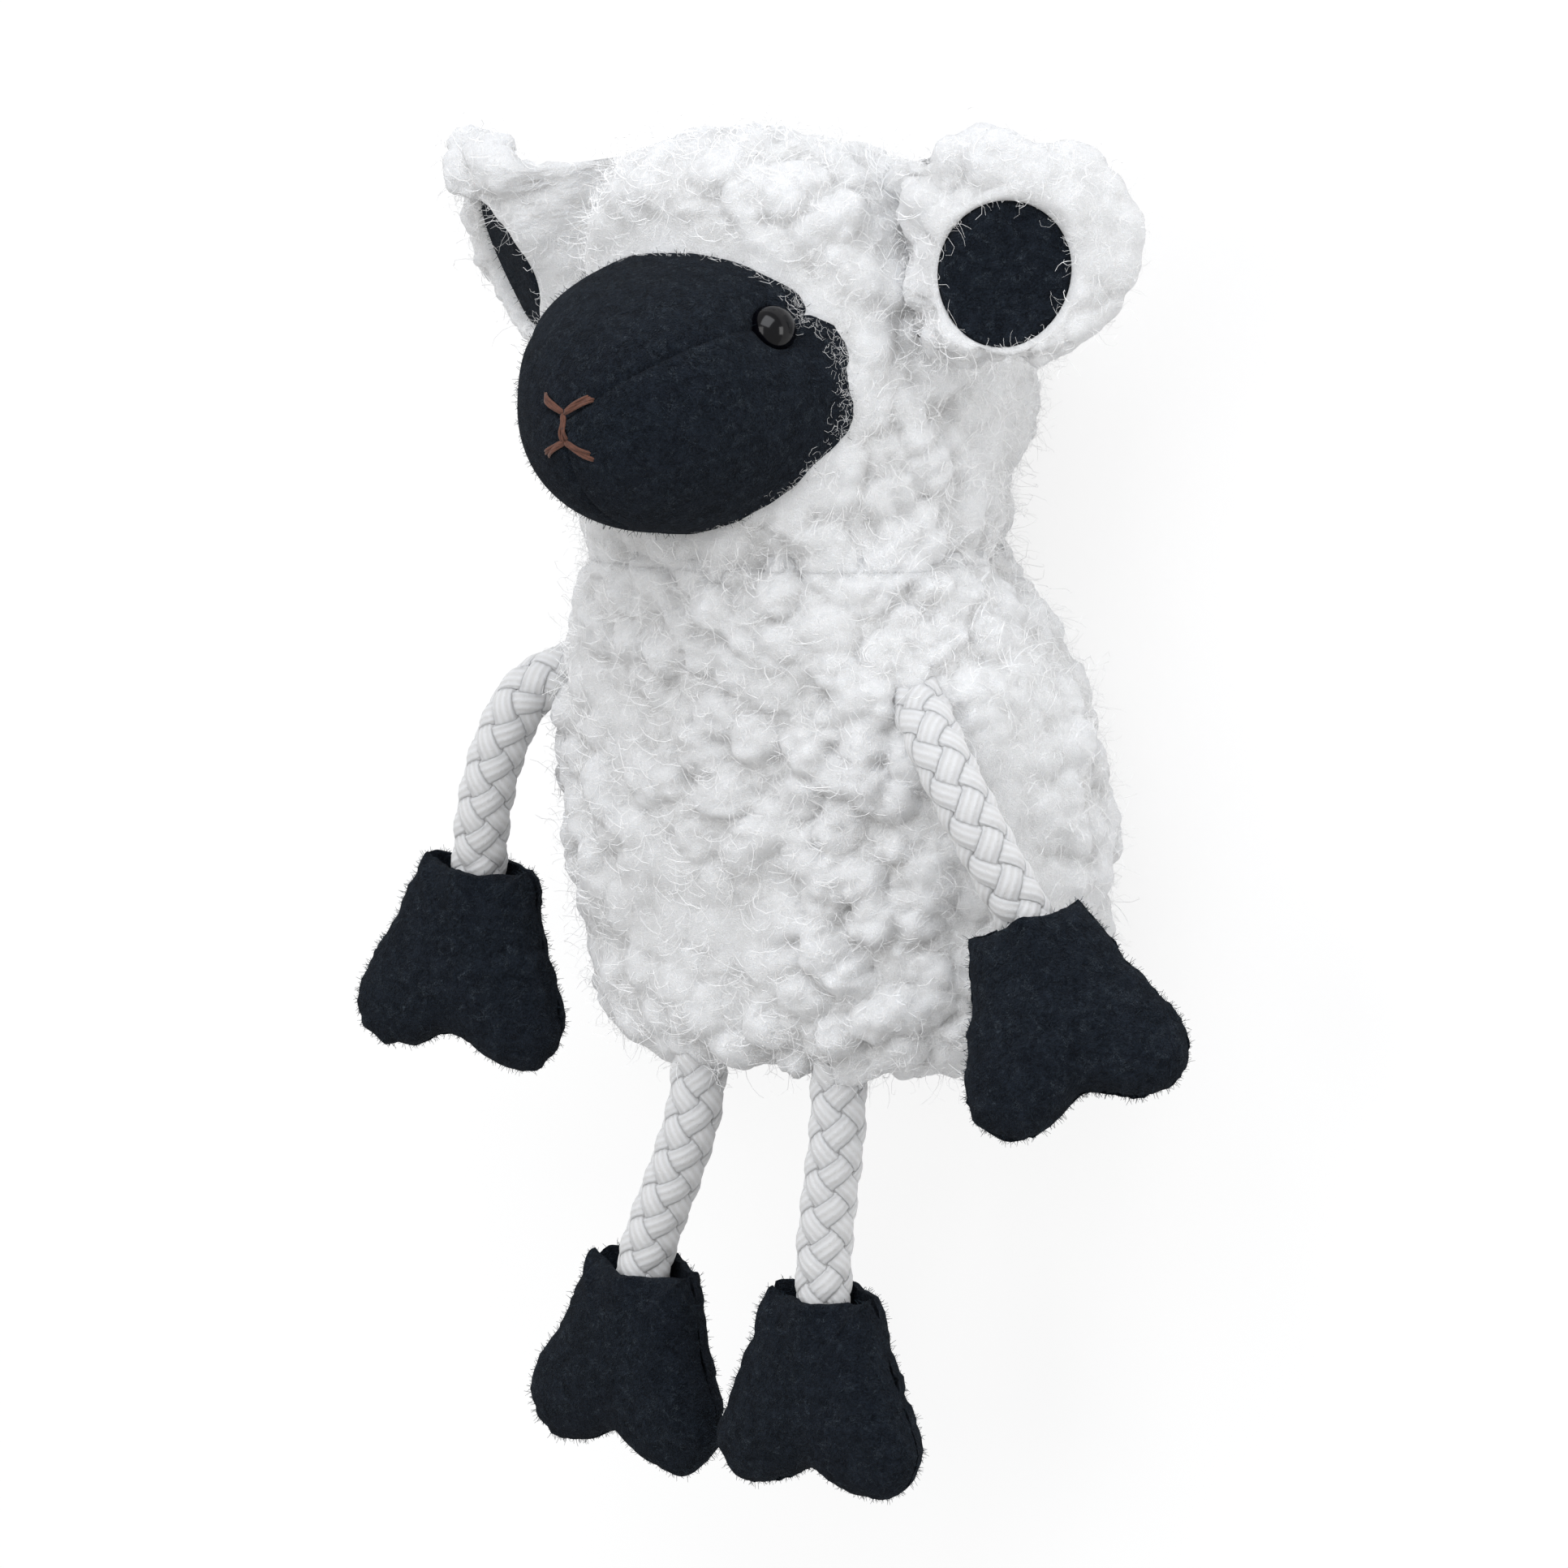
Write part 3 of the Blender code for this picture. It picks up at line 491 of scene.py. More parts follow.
# How wide and how high the swells, tufts, curls and nubs of the pile are, and a seed each
SWELLS, TUFTS, CURLS, NUBS = (
    (0.0150, 0.00050, 3.0), (0.0072, 0.00085, 1.0), (0.0042, 0.00085, 7.0), (0.0018, 0.00040, 13.0)
)
PATCH_SIZE, PATCH_SEED = 0.021, 29.0
BODY_LENGTH, HEAD_LENGTH = 0.054, 0.0450
NECK_Y, HEM_Y = BODY_LENGTH / 2, -BODY_LENGTH / 2
FACE_HALF_WIDTH, FACE_HALF_HEIGHT = 0.0192, 0.0158
FACE_BASE, FACE_Y = 0.038, NECK_Y + 0.0192
CHEST_X, CHEST_WIDTH = 0.009, 0.013


def face_reach(points):
    """How far out from the middle line of the felt cone a point lies, where 1 is its border."""
    x = points[..., 0] / FACE_HALF_WIDTH
    y = (points[..., 1] - FACE_Y) / FACE_HALF_HEIGHT
    return np.where(points[..., 2] > 0.5 * FACE_BASE, np.hypot(x, y), 9.0)


def pile_amount(points):
    """How curly the fleece is: most on the chest, less at the crown and beside the felt."""
    crownward = np.clip((points[..., 1] - NECK_Y) / HEAD_LENGTH - 0.45, 0.0, 0.5)
    beside = np.clip((face_reach(points) - 0.98) / 0.20, 0.0, 1.0)
    chest = np.exp(-(((points[..., 0] - CHEST_X) / CHEST_WIDTH) ** 2))
    chest *= points[..., 2] > 0.5 * FACE_BASE
    return (1.0 - 0.9 * crownward) * (0.22 + 0.78 * beside) * (0.80 + 0.45 * chest)


def woolly(grid, amount):
    """The grid pushed out by its domes, and how near each point is to a tip.

    In patches the pile is brushed smooth, so there the curls are a third as high. At
    the neck every point goes straight out from the middle line, so both sides meet.
    """
    swell, tuft, nub = (domes(grid, size, seed) for size, _, seed in (SWELLS, TUFTS, NUBS))
    curl = balls(grid, CURLS[0], CURLS[2])
    patch = 0.35 + 0.65 * np.clip(0.5 + domes(grid, PATCH_SIZE, PATCH_SEED), 0.0, 1.0)
    rise = SWELLS[1] * swell + patch * (TUFTS[1] * tuft + CURLS[1] * curl + NUBS[1] * nub)
    way = outward(grid)
    way[..., 1] *= 1.0 - np.exp(-(((grid[..., 1] - NECK_Y) / 0.003) ** 2))
    raised = grid + unit(way) * (rise * amount)[..., None]
    # tip is high on the tufts and curls and low between them; the fleece colour turns it into
    # painted shade in the valleys.
    tip = np.clip(0.60 + patch * (0.20 * tuft + 0.30 * curl + 0.16 * nub), 0.0, 1.0)
    return raised, tip


def rest_on_table(grid, table=0.0):
    """Flatten what would reach into the table."""
    pressed = grid.copy()
    pressed[..., 2] = np.maximum(pressed[..., 2], table)
    return pressed


# %% [markdown]
# ## Sleeve
#
# The sleeve is a stack of rounded cross-sections from the neck to the hem, where the
# cloth rolls in and turns up as the finger's pocket. All of it is one grid, so the
# hem has no edge to close.

# %% Body
SEAM_GAP = 0.0003
BODY_HALF_WIDTH = 0.0315
BODY_FRONT = 0.0402
HEM_ROUNDING = 0.0075
HEM_LIFT = 0.0020
POCKET = (0.0125, 0.0085, 0.0260)
POCKET_DEPTH = 0.042
NECK = (0.0218, 0.0060, 0.0455)
PRESSED = -0.0010
BODY_SQUARENESS, NECK_SQUARENESS, NECK_BLEND = 2.3, 2.2, 0.007
LAP, LAP_SHARE = 0.0015, 0.965
BODY_ROWS, HEM_ROWS, POCKET_ROWS, BODY_COLUMNS = 120, 26, 14, 250


def section(stations, columns, squareness):
    """Rings of rounded squares, each from its height, half-width, back and front.

    Their squareness changes near the neck, where both sides of the seam take the same.
    """
    angle = full_turn(columns)
    y, half, back, front = (np.asarray(stations)[:, k, None] for k in range(4))
    near_neck = np.exp(-(((y - NECK_Y) / NECK_BLEND) ** 2))
    power = 2 / (squareness + (NECK_SQUARENESS - squareness) * near_neck)
    sine, cosine = np.sin(angle), np.cos(angle)
    x = half * np.sign(sine) * np.abs(sine) ** power
    deep = (front - back) / 2 * np.sign(cosine) * np.abs(cosine) ** power
    return np.stack([x, y + 0 * x, (front + back) / 2 + deep], axis=-1)


def body_stations():
    width, front = BODY_HALF_WIDTH, BODY_FRONT
    neck, back, throat = NECK
    wider, fuller = width - neck, front - throat
    return [
        (NECK_Y, *NECK),
        (NECK_Y - 0.11 * BODY_LENGTH, neck + 0.35 * wider, 0.5 * back, throat + 0.10 * fuller),
        (NECK_Y - 0.25 * BODY_LENGTH, neck + 0.78 * wider, 0.0, throat + 0.62 * fuller),
        (NECK_Y - 0.45 * BODY_LENGTH, width, PRESSED, front),
        (NECK_Y - 0.65 * BODY_LENGTH, 0.985 * width, PRESSED, 0.945 * front),
        (HEM_Y + HEM_ROUNDING + 0.05 * BODY_LENGTH, 0.94 * width, PRESSED, 0.915 * front),
    ]


def hem_and_pocket(last):
    """The hem's quarter turn, then the pocket, which narrows towards its end."""
    turn = np.linspace(0.0, math.pi / 2, HEM_ROWS + 1)[1:]
    into = 0.62 * (1 - np.cos(turn))[:, None]
    sizes = np.array(last[1:]) + (np.array(POCKET) - np.array(last[1:])) * into
    hem = np.column_stack([last[0] + (HEM_Y - last[0]) * np.sin(turn), sizes])
    share = np.linspace(0.0, 1.0, POCKET_ROWS)
    taper = np.sqrt(1 - 0.75 * share**4)
    middle, reach = (POCKET[2] + POCKET[1]) / 2, (POCKET[2] - POCKET[1]) / 2 * taper
    depth = HEM_Y + POCKET_DEPTH * share
    return hem, np.column_stack([depth, POCKET[0] * taper, middle - reach, middle + reach])


def lap(rings, way):
    """The rings with one more before them, a little inside the seam and past it."""
    middle = np.array([0.0, 0.0, (NECK[1] + NECK[2]) / 2])
    inner = middle + (rings[:1] - middle) * [LAP_SHARE, 1.0, LAP_SHARE] + [0.0, way * LAP, 0.0]
    return np.concatenate([inner, rings])


def build_body():
    stations = body_stations()
    outer = through(stations, BODY_ROWS)
    hem, pocket = hem_and_pocket(stations[-1])
    rings = section(np.vstack([outer, hem, pocket]), BODY_COLUMNS, BODY_SQUARENESS)
    cloth = rings[: BODY_ROWS + HEM_ROWS]
    pile, tip = woolly(cloth, pile_amount(cloth))
    low = np.clip((NECK_Y - 0.6 * BODY_LENGTH - pile[..., 1]) / (0.4 * BODY_LENGTH), 0.0, 1.0)
    pile[..., 1] += HEM_LIFT * low**2 * np.clip(pile[..., 0] / BODY_HALF_WIDTH, 0.0, 1.0)
    grid = rest_on_table(np.concatenate([pile, rings[len(pile):]]))
    # The pocket gets a low tip of 0.4, so the fleece colour paints it darker, as shade inside the
    # pocket.
    tips = np.concatenate([tip[:1], tip, np.full((len(pocket), BODY_COLUMNS), 0.4)])
    neck = (0.0, NECK_Y, (NECK[1] + NECK[2]) / 2)
    end = (0.0, HEM_Y + 1.02 * POCKET_DEPTH, (POCKET[1] + POCKET[2]) / 2)
    body = closed_skin("body_wool", lap(grid, 1), neck, end, FLEECE, tip=tips)
    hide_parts("body_fleece")
    return body, grid[: len(pile)]


body, body_pile = build_body()
print("sleeve faces:", len(body.data.polygons))

# %% [markdown]
# ## Head
#
# The head is another stack of sections, from the neck seam to a pole at the crown.
# Its top is brushed up and smoother, so the curls are lower there.

# %% Head
HEAD_HALF_WIDTH = 0.0231
HEAD_FRONT = 0.0498
CROWN = 0.036
HEAD_SQUARENESS = 2.1
HEAD_ROWS, HEAD_COLUMNS = 130, 250
BROW_DROP, BROW_FADE = 0.0022, 0.26


def head_stations():
    width, front = HEAD_HALF_WIDTH, HEAD_FRONT
    return [
        (NECK_Y, *NECK),
        (NECK_Y + 0.17 * HEAD_LENGTH, 0.96 * width, 0.6 * NECK[1], 0.955 * front),
        (NECK_Y + 0.40 * HEAD_LENGTH, width, PRESSED, front),
        (NECK_Y + 0.64 * HEAD_LENGTH, 0.97 * width, PRESSED, 0.99 * front),
        (NECK_Y + 0.81 * HEAD_LENGTH, 0.84 * width, 0.16 * CROWN, 0.975 * front),
        (NECK_Y + 0.92 * HEAD_LENGTH, 0.62 * width, 0.42 * CROWN, 0.93 * front),
        (NECK_Y + 0.985 * HEAD_LENGTH, 0.30 * width, 0.75 * CROWN, 0.82 * front),
        (NECK_Y + 1.0 * HEAD_LENGTH, 0.01 * width, 0.99 * CROWN, CROWN),
    ]


def tuck_brow(rings):
    """Sink the fleece along the upper border of the felt, most at the seams and fading out.

    The fade is a bell over how far past the border a point lies, and a smooth step over
    its height keeps the cheeks and chin as they are.
    """
    up = (rings[..., 1] - FACE_Y) / FACE_HALF_HEIGHT
    upper = np.clip((up - 0.10) / 0.6, 0.0, 1.0)
    past = np.maximum(face_reach(rings) - 0.92, 0.0)
    tucked = rings.copy()
    tucked[..., 2] -= BROW_DROP * upper**2 * (3 - 2 * upper) * np.exp(-((past / BROW_FADE) ** 2))
    return tucked


def build_head():
    """Curls over the sections, lower towards the crown and laid flat beside the felt."""
    stations = through(head_stations(), HEAD_ROWS)
    rings = tuck_brow(section(stations, HEAD_COLUMNS, HEAD_SQUARENESS))
    pile, tip = woolly(rings, pile_amount(rings))
    grid = rest_on_table(pile)
    neck = (0.0, NECK_Y, (NECK[1] + NECK[2]) / 2)
    crown = (0.0, NECK_Y + HEAD_LENGTH, CROWN)
    tips = np.concatenate([tip[:1], tip])
    head = closed_skin("head_wool", lap(grid, -1), neck, crown, FLEECE, tip=tips)
    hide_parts("head_fleece")
    return head, grid


head, head_pile = build_head()
print("head faces:", len(head.data.polygons))

# %% [markdown]
# ## Felt face
#
# The face is a blunt cone: its half-width and half-height shrink evenly towards the
# nose, times a dome. Three panels meet in seams that run from the nose to the eyes
# and under the chin. Each panel rolls down into its seams, and the felt dips where
# an eye pulls it in.

# %% Face
FELT_THICKNESS = 0.0014
FACE_LENGTH = 0.0265
NOSE_DROP = 0.0030
SIDE_TAPER, TOP_TAPER = 0.37, 0.22
GUSSET_ANGLE = math.radians(56)
EYE_ROW, EYE_ANGLE = 0.223, math.radians(57.5)
EYE_RADIUS, EYE_PROUD = 0.0026, 0.0002
EYE_DIMPLE, EYE_DIMPLE_RADIUS = 0.0021, 0.0035
SEAM_DIP, SEAM_WIDTH = 0.00042, 0.00060
BROW_FULLNESS, BORDER_WAIST = 0.11, 0.30


def face_surface(row, angle):
    """Row 0 is the border in the fleece and 1 the nose; the angle starts at the brow.

    Above the middle the rings are fuller between brow and side, by a squared sine of
    twice the angle, which is most at 45 degrees. Halfway to the nose that is most, by
    the sine of the row, and at the border the rings are a little narrower.
    """
    along = np.sin(row * math.pi / 2)
    swell = np.sin(math.pi * np.clip(row, 0.0, 1.0)) - BORDER_WAIST
    full = 1 + BROW_FULLNESS * swell * np.where(np.cos(angle) > 0, np.sin(2 * angle) ** 2, 0.0)
    dome = np.cos(row * math.pi / 2) * np.sqrt(1 + along**2) * full
    x = FACE_HALF_WIDTH * (1 - SIDE_TAPER * along) * dome * np.sin(angle)
    up = FACE_HALF_HEIGHT * (1 - TOP_TAPER * along) * dome * np.cos(angle)
    y = FACE_Y - NOSE_DROP * along + up
    return np.stack([x, y, FACE_BASE + FACE_LENGTH * along + 0 * angle], axis=-1)


def face_normal(row, angle, step=1e-4):
    """Which way the face looks, from its slopes along and round."""
    row = np.minimum(row, 1 - 2 * step)
    along = face_surface(row + step, angle) - face_surface(row - step, angle)
    around = face_surface(row, angle + step) - face_surface(row, angle - step)
    return unit(np.cross(along, around))


def face_point(row, angle, depth=0.0):
    """A point below the felt's outer side, which dips like a bell round each eye."""
    row, angle = np.broadcast_arrays(np.asarray(row, float), np.asarray(angle, float))
    flat = face_surface(row, angle)
    dip = np.zeros(row.shape)
    for side in (1, -1):
        eye = face_surface(np.array(EYE_ROW), np.array(side * EYE_ANGLE))
        away = np.linalg.norm(flat - eye, axis=-1)
        dip += EYE_DIMPLE * np.exp(-((away / EYE_DIMPLE_RADIUS) ** 2))
    return flat - (depth + dip)[..., None] * face_normal(row, angle)


def felt_panel(name, first, last, columns=66, rows=64):
    """One panel: its outer side, rolled into both seams, and back along its inner side."""
    row = np.linspace(-0.035, 0.988, rows)[:, None]
    share = np.linspace(0.0, 1.0, columns)[None, :]
    angle = first + (last - first) * (0.5 - 0.5 * np.cos(math.pi * share))
    side = face_surface(row, 0 * row + math.pi / 2)[..., :2]
    girth = np.linalg.norm(side - [0.0, FACE_Y], axis=-1)
    to_seam = np.minimum(angle - first, last - angle) * girth
    roll = SEAM_DIP * np.exp(-to_seam / SEAM_WIDTH)
    outside = face_point(row, angle, roll)
    inner = np.linspace(last, first, 12)[None, :]
    inside = face_point(row, inner, 0 * row * inner + FELT_THICKNESS)
    grid = np.concatenate([outside, inside], axis=1)
    panel = closed_skin(name + "_felt", grid, grid[0].mean(axis=0), grid[-1].mean(axis=0), FELT)
    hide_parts(name)
    return outside


face_skins = [
    felt_panel(panel_name, first_seam, last_seam)
    for panel_name, first_seam, last_seam in (
        ("face_gusset", -GUSSET_ANGLE, GUSSET_ANGLE),
        ("face_cheek_left", GUSSET_ANGLE, math.pi),
        ("face_cheek_right", math.pi, 2 * math.pi - GUSSET_ANGLE),
    )
]
print("face panels:", len(face_skins))

# %% [markdown]
# ## Eyes
#
# An eye is a turned bead on a shank. It sits in its dimple with the seam running up
# to it, and mirrors the lamps, so it is smooth and has many more facets than its solid.

# %% Eyes
SHANK_START, SHANK_END, SHANK_TIP = 0.0030, 0.0039, 0.0040


def build_eye(side, node):
    """A ball about the eye's middle, closed at both poles, with a shank pushed in."""
    angle = np.array(side * EYE_ANGLE)
    normal = Vector(face_normal(np.array(EYE_ROW), angle))
    middle = Vector(face_point(EYE_ROW, angle, np.array(0.0))) + normal * EYE_PROUD
    place = Matrix.Translation(middle) @ normal.to_track_quat("Z", "Y").to_matrix().to_4x4()
    turn = np.linspace(0.06, math.pi - 0.32, 30)[:, None]
    around = full_turn(48)[None, :]
    ball = [np.sin(turn) * np.cos(around), np.sin(turn) * np.sin(around), np.cos(turn) + 0 * around]
    ball = EYE_RADIUS * np.stack(ball, axis=-1)
    shank = np.repeat(ball[-1:], 2, axis=0)
    shank[:, :, 2] = [[-SHANK_START], [-SHANK_END]]
    turned = placed(np.concatenate([ball, shank]), place)
    top = place @ Vector((0.0, 0.0, EYE_RADIUS))
    foot = place @ Vector((0.0, 0.0, -SHANK_TIP))
    eye = closed_skin(node + "_bead", turned, top, foot, BEAD)
    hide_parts(node)


build_eye(1, "eye_left")
build_eye(-1, "eye_right")
print("eyes: 2")

# %% [markdown]
# ## Strands
#
# Cords, threads and fibres are all tubes along a path. One helper makes any number
# of closed tubes at once: each path gets a frame of two sideways directions, and a
# ring of points in that frame at every step.

# %% Tubes


def tube_frames(paths):
    """Two directions square to each path: one leaning on a fixed reference, one across."""
    ahead = unit(np.gradient(paths, axis=1))
    lean = np.where(np.abs(ahead[..., 2:]) > 0.92, [1.0, 0.0, 0.0], [0.0, 0.0, 1.0])
    side = unit(np.cross(ahead, lean))
    return side, np.cross(side, ahead)


def ringed(name, rings, material):
    """Many closed tubes as one mesh, from their rings: tubes by steps by sides by three."""
    count, steps, sides = rings.shape[:3]
    points = rings.reshape(-1, 3)
    shift = np.arange(count)[:, None, None] * steps * sides
    quads = (grid_faces(steps, sides)[None] + shift).reshape(-1, 4)
    fan = np.stack([np.zeros(sides - 2, int), np.arange(1, sides - 1), np.arange(2, sides)], axis=1)
    caps = np.concatenate([fan[:, ::-1], fan + (steps - 1) * sides])
    caps = (caps[None] + shift).reshape(-1, 3)
    if volume_sign(points, quads) < 0:
        quads, caps = quads[:, ::-1], caps[:, ::-1]
    return put(name, make_mesh(name, points, quads, caps), material)


def tubes(name, paths, radius, sides, material):
    """Round tubes: paths is tubes by steps by three, and radius is tubes by steps."""
    side, over = tube_frames(paths)
    turn = full_turn(sides)[:, None]
    ring = side[:, :, None] * np.cos(turn) + over[:, :, None] * np.sin(turn)
    reach = np.broadcast_to(radius, paths.shape[:2])[..., None, None]
    return ringed(name, paths[:, :, None] + reach * ring, material)


# %% [markdown]
# ## Mouth
#
# The mouth is five stitches of doubled thread. Each lies on the felt and dives into
# it at both ends, so the ends need no knots.

# %% Mouth stitches
STITCH_REACH, STITCH_RISE, STITCH_TRUNK = 0.0031, 0.0016, 0.0029
PLY_RADIUS, PLY_TWIST, PLY_PLACES = 0.00015, 2.2, (-2.4, -0.8, 0.8, 2.4)
MOUTH_RISE, STITCH_SUNK, STITCH_ARCH = 0.0009, 0.0005, 0.0007


def on_nose(x, y, lift):
    """The spot on the nose x across from its tip and y above it, lifted off the felt."""
    rows = np.linspace(0.55, 0.9999, 400)
    angle = math.atan2(x, y) if x or y else 0.0
    tip = face_point(0.9999, 0.0, np.array(0.0))
    ring = face_point(rows, angle, np.full(400, -lift))
    return ring[int(np.abs(np.hypot(ring[:, 0], ring[:, 1] - tip[1]) - math.hypot(x, y)).argmin())]


def stitch_plies(start, end, steps=22):
    """Four plies side by side, crossing once over a stitch that arches from felt to felt."""
    share = np.linspace(0.0, 1.0, steps)
    arch = np.sin(math.pi * share) ** 0.35
    line = np.array([
        on_nose(
            start[0] + (end[0] - start[0]) * s,
            start[1] + (end[1] - start[1]) * s + MOUTH_RISE,
            STITCH_ARCH * a - STITCH_SUNK,
        )
        for s, a in zip(share, arch)
    ])
    side, over = (direction[0] for direction in tube_frames(line[None]))
    spread = PLY_RADIUS * (0.5 + 0.5 * share[:, None])
    turn = PLY_TWIST * math.pi * share[:, None]
    return [
        line + spread * (place * side + 0.9 * np.sin(turn + place) * over) for place in PLY_PLACES
    ]


low = -STITCH_TRUNK
plies = []
for start, end in (
    ((0.0, 0.0), (0.0, low)),
    ((0.0, 0.0), (STITCH_REACH, STITCH_RISE)),
    ((0.0, 0.0), (-STITCH_REACH, STITCH_RISE)),
    ((0.0, low), (STITCH_REACH, low - STITCH_RISE)),
    ((0.0, low), (-STITCH_REACH, low - STITCH_RISE)),
):
    plies += stitch_plies(start, end)
mouth = tubes("mouth_thread", np.array(plies), PLY_RADIUS, 6, THREAD)
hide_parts("mouth_stitches")
print("plies of thread:", len(plies))

# %% [markdown]
# ## Braided cords
#
# A round braid has strands that wind both ways about the middle line, and each rises
# over one crossing and dips under the next. So a strand's distance from the middle
# is a cosine of how far it has wound, with opposite signs for the two ways round.

# %% Limb cords
CORD_RADIUS = 0.0031
LIMBS = {
    "arm_left": (
        [(0.0215, 0.0145, 0.0335), (0.0268, 0.0095, 0.0368), (0.0306, 0.0040, 0.0372),
         (0.0335, -0.0022, 0.0357), (0.0358, -0.0082, 0.0335)],
        "hand_left", (0.42, -0.90, 0.02), math.radians(36),
    ),
    "arm_right": (
        [(-0.0238, 0.0150, 0.0315), (-0.0292, 0.0118, 0.0345), (-0.0326, 0.0060, 0.0353),
         (-0.0354, -0.0010, 0.0347), (-0.0374, -0.0074, 0.0332)],
        "hand_right", (-0.15, -0.99, 0.02), math.radians(18),
    ),
    "leg_left": (
        [(0.0092, -0.0250, 0.0304), (0.0090, -0.0325, 0.0304), (0.0079, -0.0392, 0.0302),
         (0.0070, -0.0452, 0.0300), (0.0068, -0.0500, 0.0299)],
        "foot_left", (-0.05, -1.0, -0.02), math.radians(8),
    ),
    "leg_right": (
        [(-0.0092, -0.0250, 0.0304), (-0.0102, -0.0320, 0.0304), (-0.0128, -0.0388, 0.0303),
         (-0.0153, -0.0442, 0.0302), (-0.0172, -0.0492, 0.0301)],
        "foot_right", (-0.17, -1.0, -0.02), math.radians(4),
    ),
}
CORD_IN_SLEEVE, CORD_IN_HOOF = 0.0030, 0.0065
CORD_STEPS = 84
STRANDS_EACH_WAY, STRAND_SIDES = 4, 10
LAY_LENGTH = 0.0165
STRAND_HALF_WIDTH, STRAND_HALF_HEIGHT, WEAVE = 0.00142, 0.00068, 0.00022
CORE_SHARE = 0.80


def limb_line(points, ahead, count):
    """The cord's middle line, from inside the sleeve into the hoof."""
    first, second, last = (Vector(points[k]) for k in (0, 1, -1))
    back = (first - second).normalized()
    start = first + back * CORD_IN_SLEEVE
    end = last + Vector(ahead).normalized() * CORD_IN_HOOF
    return through([tuple(start), *points, tuple(end)], count)


def braid(name, line, node):
    """Flat strands wound both ways round the line; each is a ring carried along its path.

    A round core fills the middle, so that no light falls through the crossings.
    """
    walked = walked_along(line)
    side, over = (direction[0] for direction in tube_frames(line[None]))
    turn = full_turn(STRAND_SIDES)
    rings, flat = [], []
    for way in (1, -1):
        for k in range(STRANDS_EACH_WAY):
            wound = 2 * math.pi * walked / LAY_LENGTH
            angle = way * wound + 2 * math.pi * k / STRANDS_EACH_WAY
            away = side * np.cos(angle)[:, None] + over * np.sin(angle)[:, None]
            middle = CORD_RADIUS - STRAND_HALF_HEIGHT - WEAVE
            reach = middle + way * WEAVE * np.cos(STRANDS_EACH_WAY * wound)
            path = line + away * reach[:, None]
            ahead = unit(np.gradient(path, axis=0))
            across = unit(np.cross(ahead, away))
            wide = across[:, None] * (STRAND_HALF_WIDTH * np.cos(turn))[:, None]
            tall = away[:, None] * (STRAND_HALF_HEIGHT * np.sin(turn))[:, None]
            rings.append(path[:, None] + wide + tall)
            around = np.abs(np.linspace(-1.0, 1.0, STRAND_SIDES, endpoint=False))
            unrolled = np.broadcast_arrays(around[None], walked[:, None] / LAY_LENGTH)
            flat.append(np.stack(unrolled, axis=-1))
    round_core = side[:, None] * np.cos(turn)[:, None] + over[:, None] * np.sin(turn)[:, None]
    rings.append(line[:, None] + CORE_SHARE * CORD_RADIUS * round_core)
    flat.append(np.full((len(line), STRAND_SIDES, 2), 0.5))
    piece = ringed(name, np.array(rings), CORD)
    uv = piece.data.uv_layers.new(name="strand")
    which = np.empty(len(piece.data.loops), dtype=np.int32)
    piece.data.loops.foreach_get("vertex_index", which)
    uv.data.foreach_set("uv", np.array(flat).reshape(-1, 2)[which].ravel().astype(np.float32))
    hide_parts(node)


for limb, (points, _, ahead, _) in LIMBS.items():
    braid(limb + "_braid", limb_line(points, ahead, CORD_STEPS), limb + "_cord")
print("cords:", len(LIMBS), "of", 2 * STRANDS_EACH_WAY, "strands")

# %% [markdown]
# ## Hooves
#
# A hoof is two felt panels sewn along their rims and turned out. A panel is a heart
# with a narrow mouth: its outline is a smooth curve through a few points, and its
# height is a dome that stays open where the cord goes in.

# %% Hooves
chance = np.random.default_rng(11)
HOOF_WIDTH, HOOF_LENGTH, HOOF_MOUTH = 0.0236, 0.0214, 0.0122
HOOF_MOUTH_ANGLE = math.radians(20)
HOOF_PUFF, LIP_STEP = 0.0036, 0.0005
RIM_GAP, CUT_WOBBLE = 0.00004, 0.00017
HOOF_INNER = 4


def closed_outline(points, count):
    """A closed smooth outline through the points, at even steps of its length."""
    knots = np.asarray(points, dtype=float)
    looped = through(np.vstack([knots[-3:], knots, knots[:3]]), 1200)
    start = np.linalg.norm(looped[:600] - knots[0], axis=1).argmin()
    end = 600 + np.linalg.norm(looped[600:] - knots[0], axis=1).argmin()
    return through(looped[start : end + 1 : 4], count + 1)[:-1]


def hoof_outline(lip, count):
    half, length, mouth = HOOF_WIDTH / 2, HOOF_LENGTH, HOOF_MOUTH / 2
    right = [
        (0.82 * mouth, 0.6 * lip),
        (1.02 * mouth, -0.01 * length),
        (0.34 * half + 0.70 * mouth, -0.32 * length),
        (0.95 * half, -0.64 * length),
        (0.98 * half, -0.84 * length),
        (0.72 * half, -0.985 * length),
        (0.36 * half, -0.965 * length),
    ]
    left = [(-x, y) for x, y in reversed(right)]
    rim = closed_outline([(0.0, lip), *right, (0.0, -0.88 * length), *left], count)
    cut = chance.normal(scale=CUT_WOBBLE, size=(count, 2))
    return rim + (cut + np.roll(cut, 1, axis=0) + np.roll(cut, -1, axis=0)) / 2


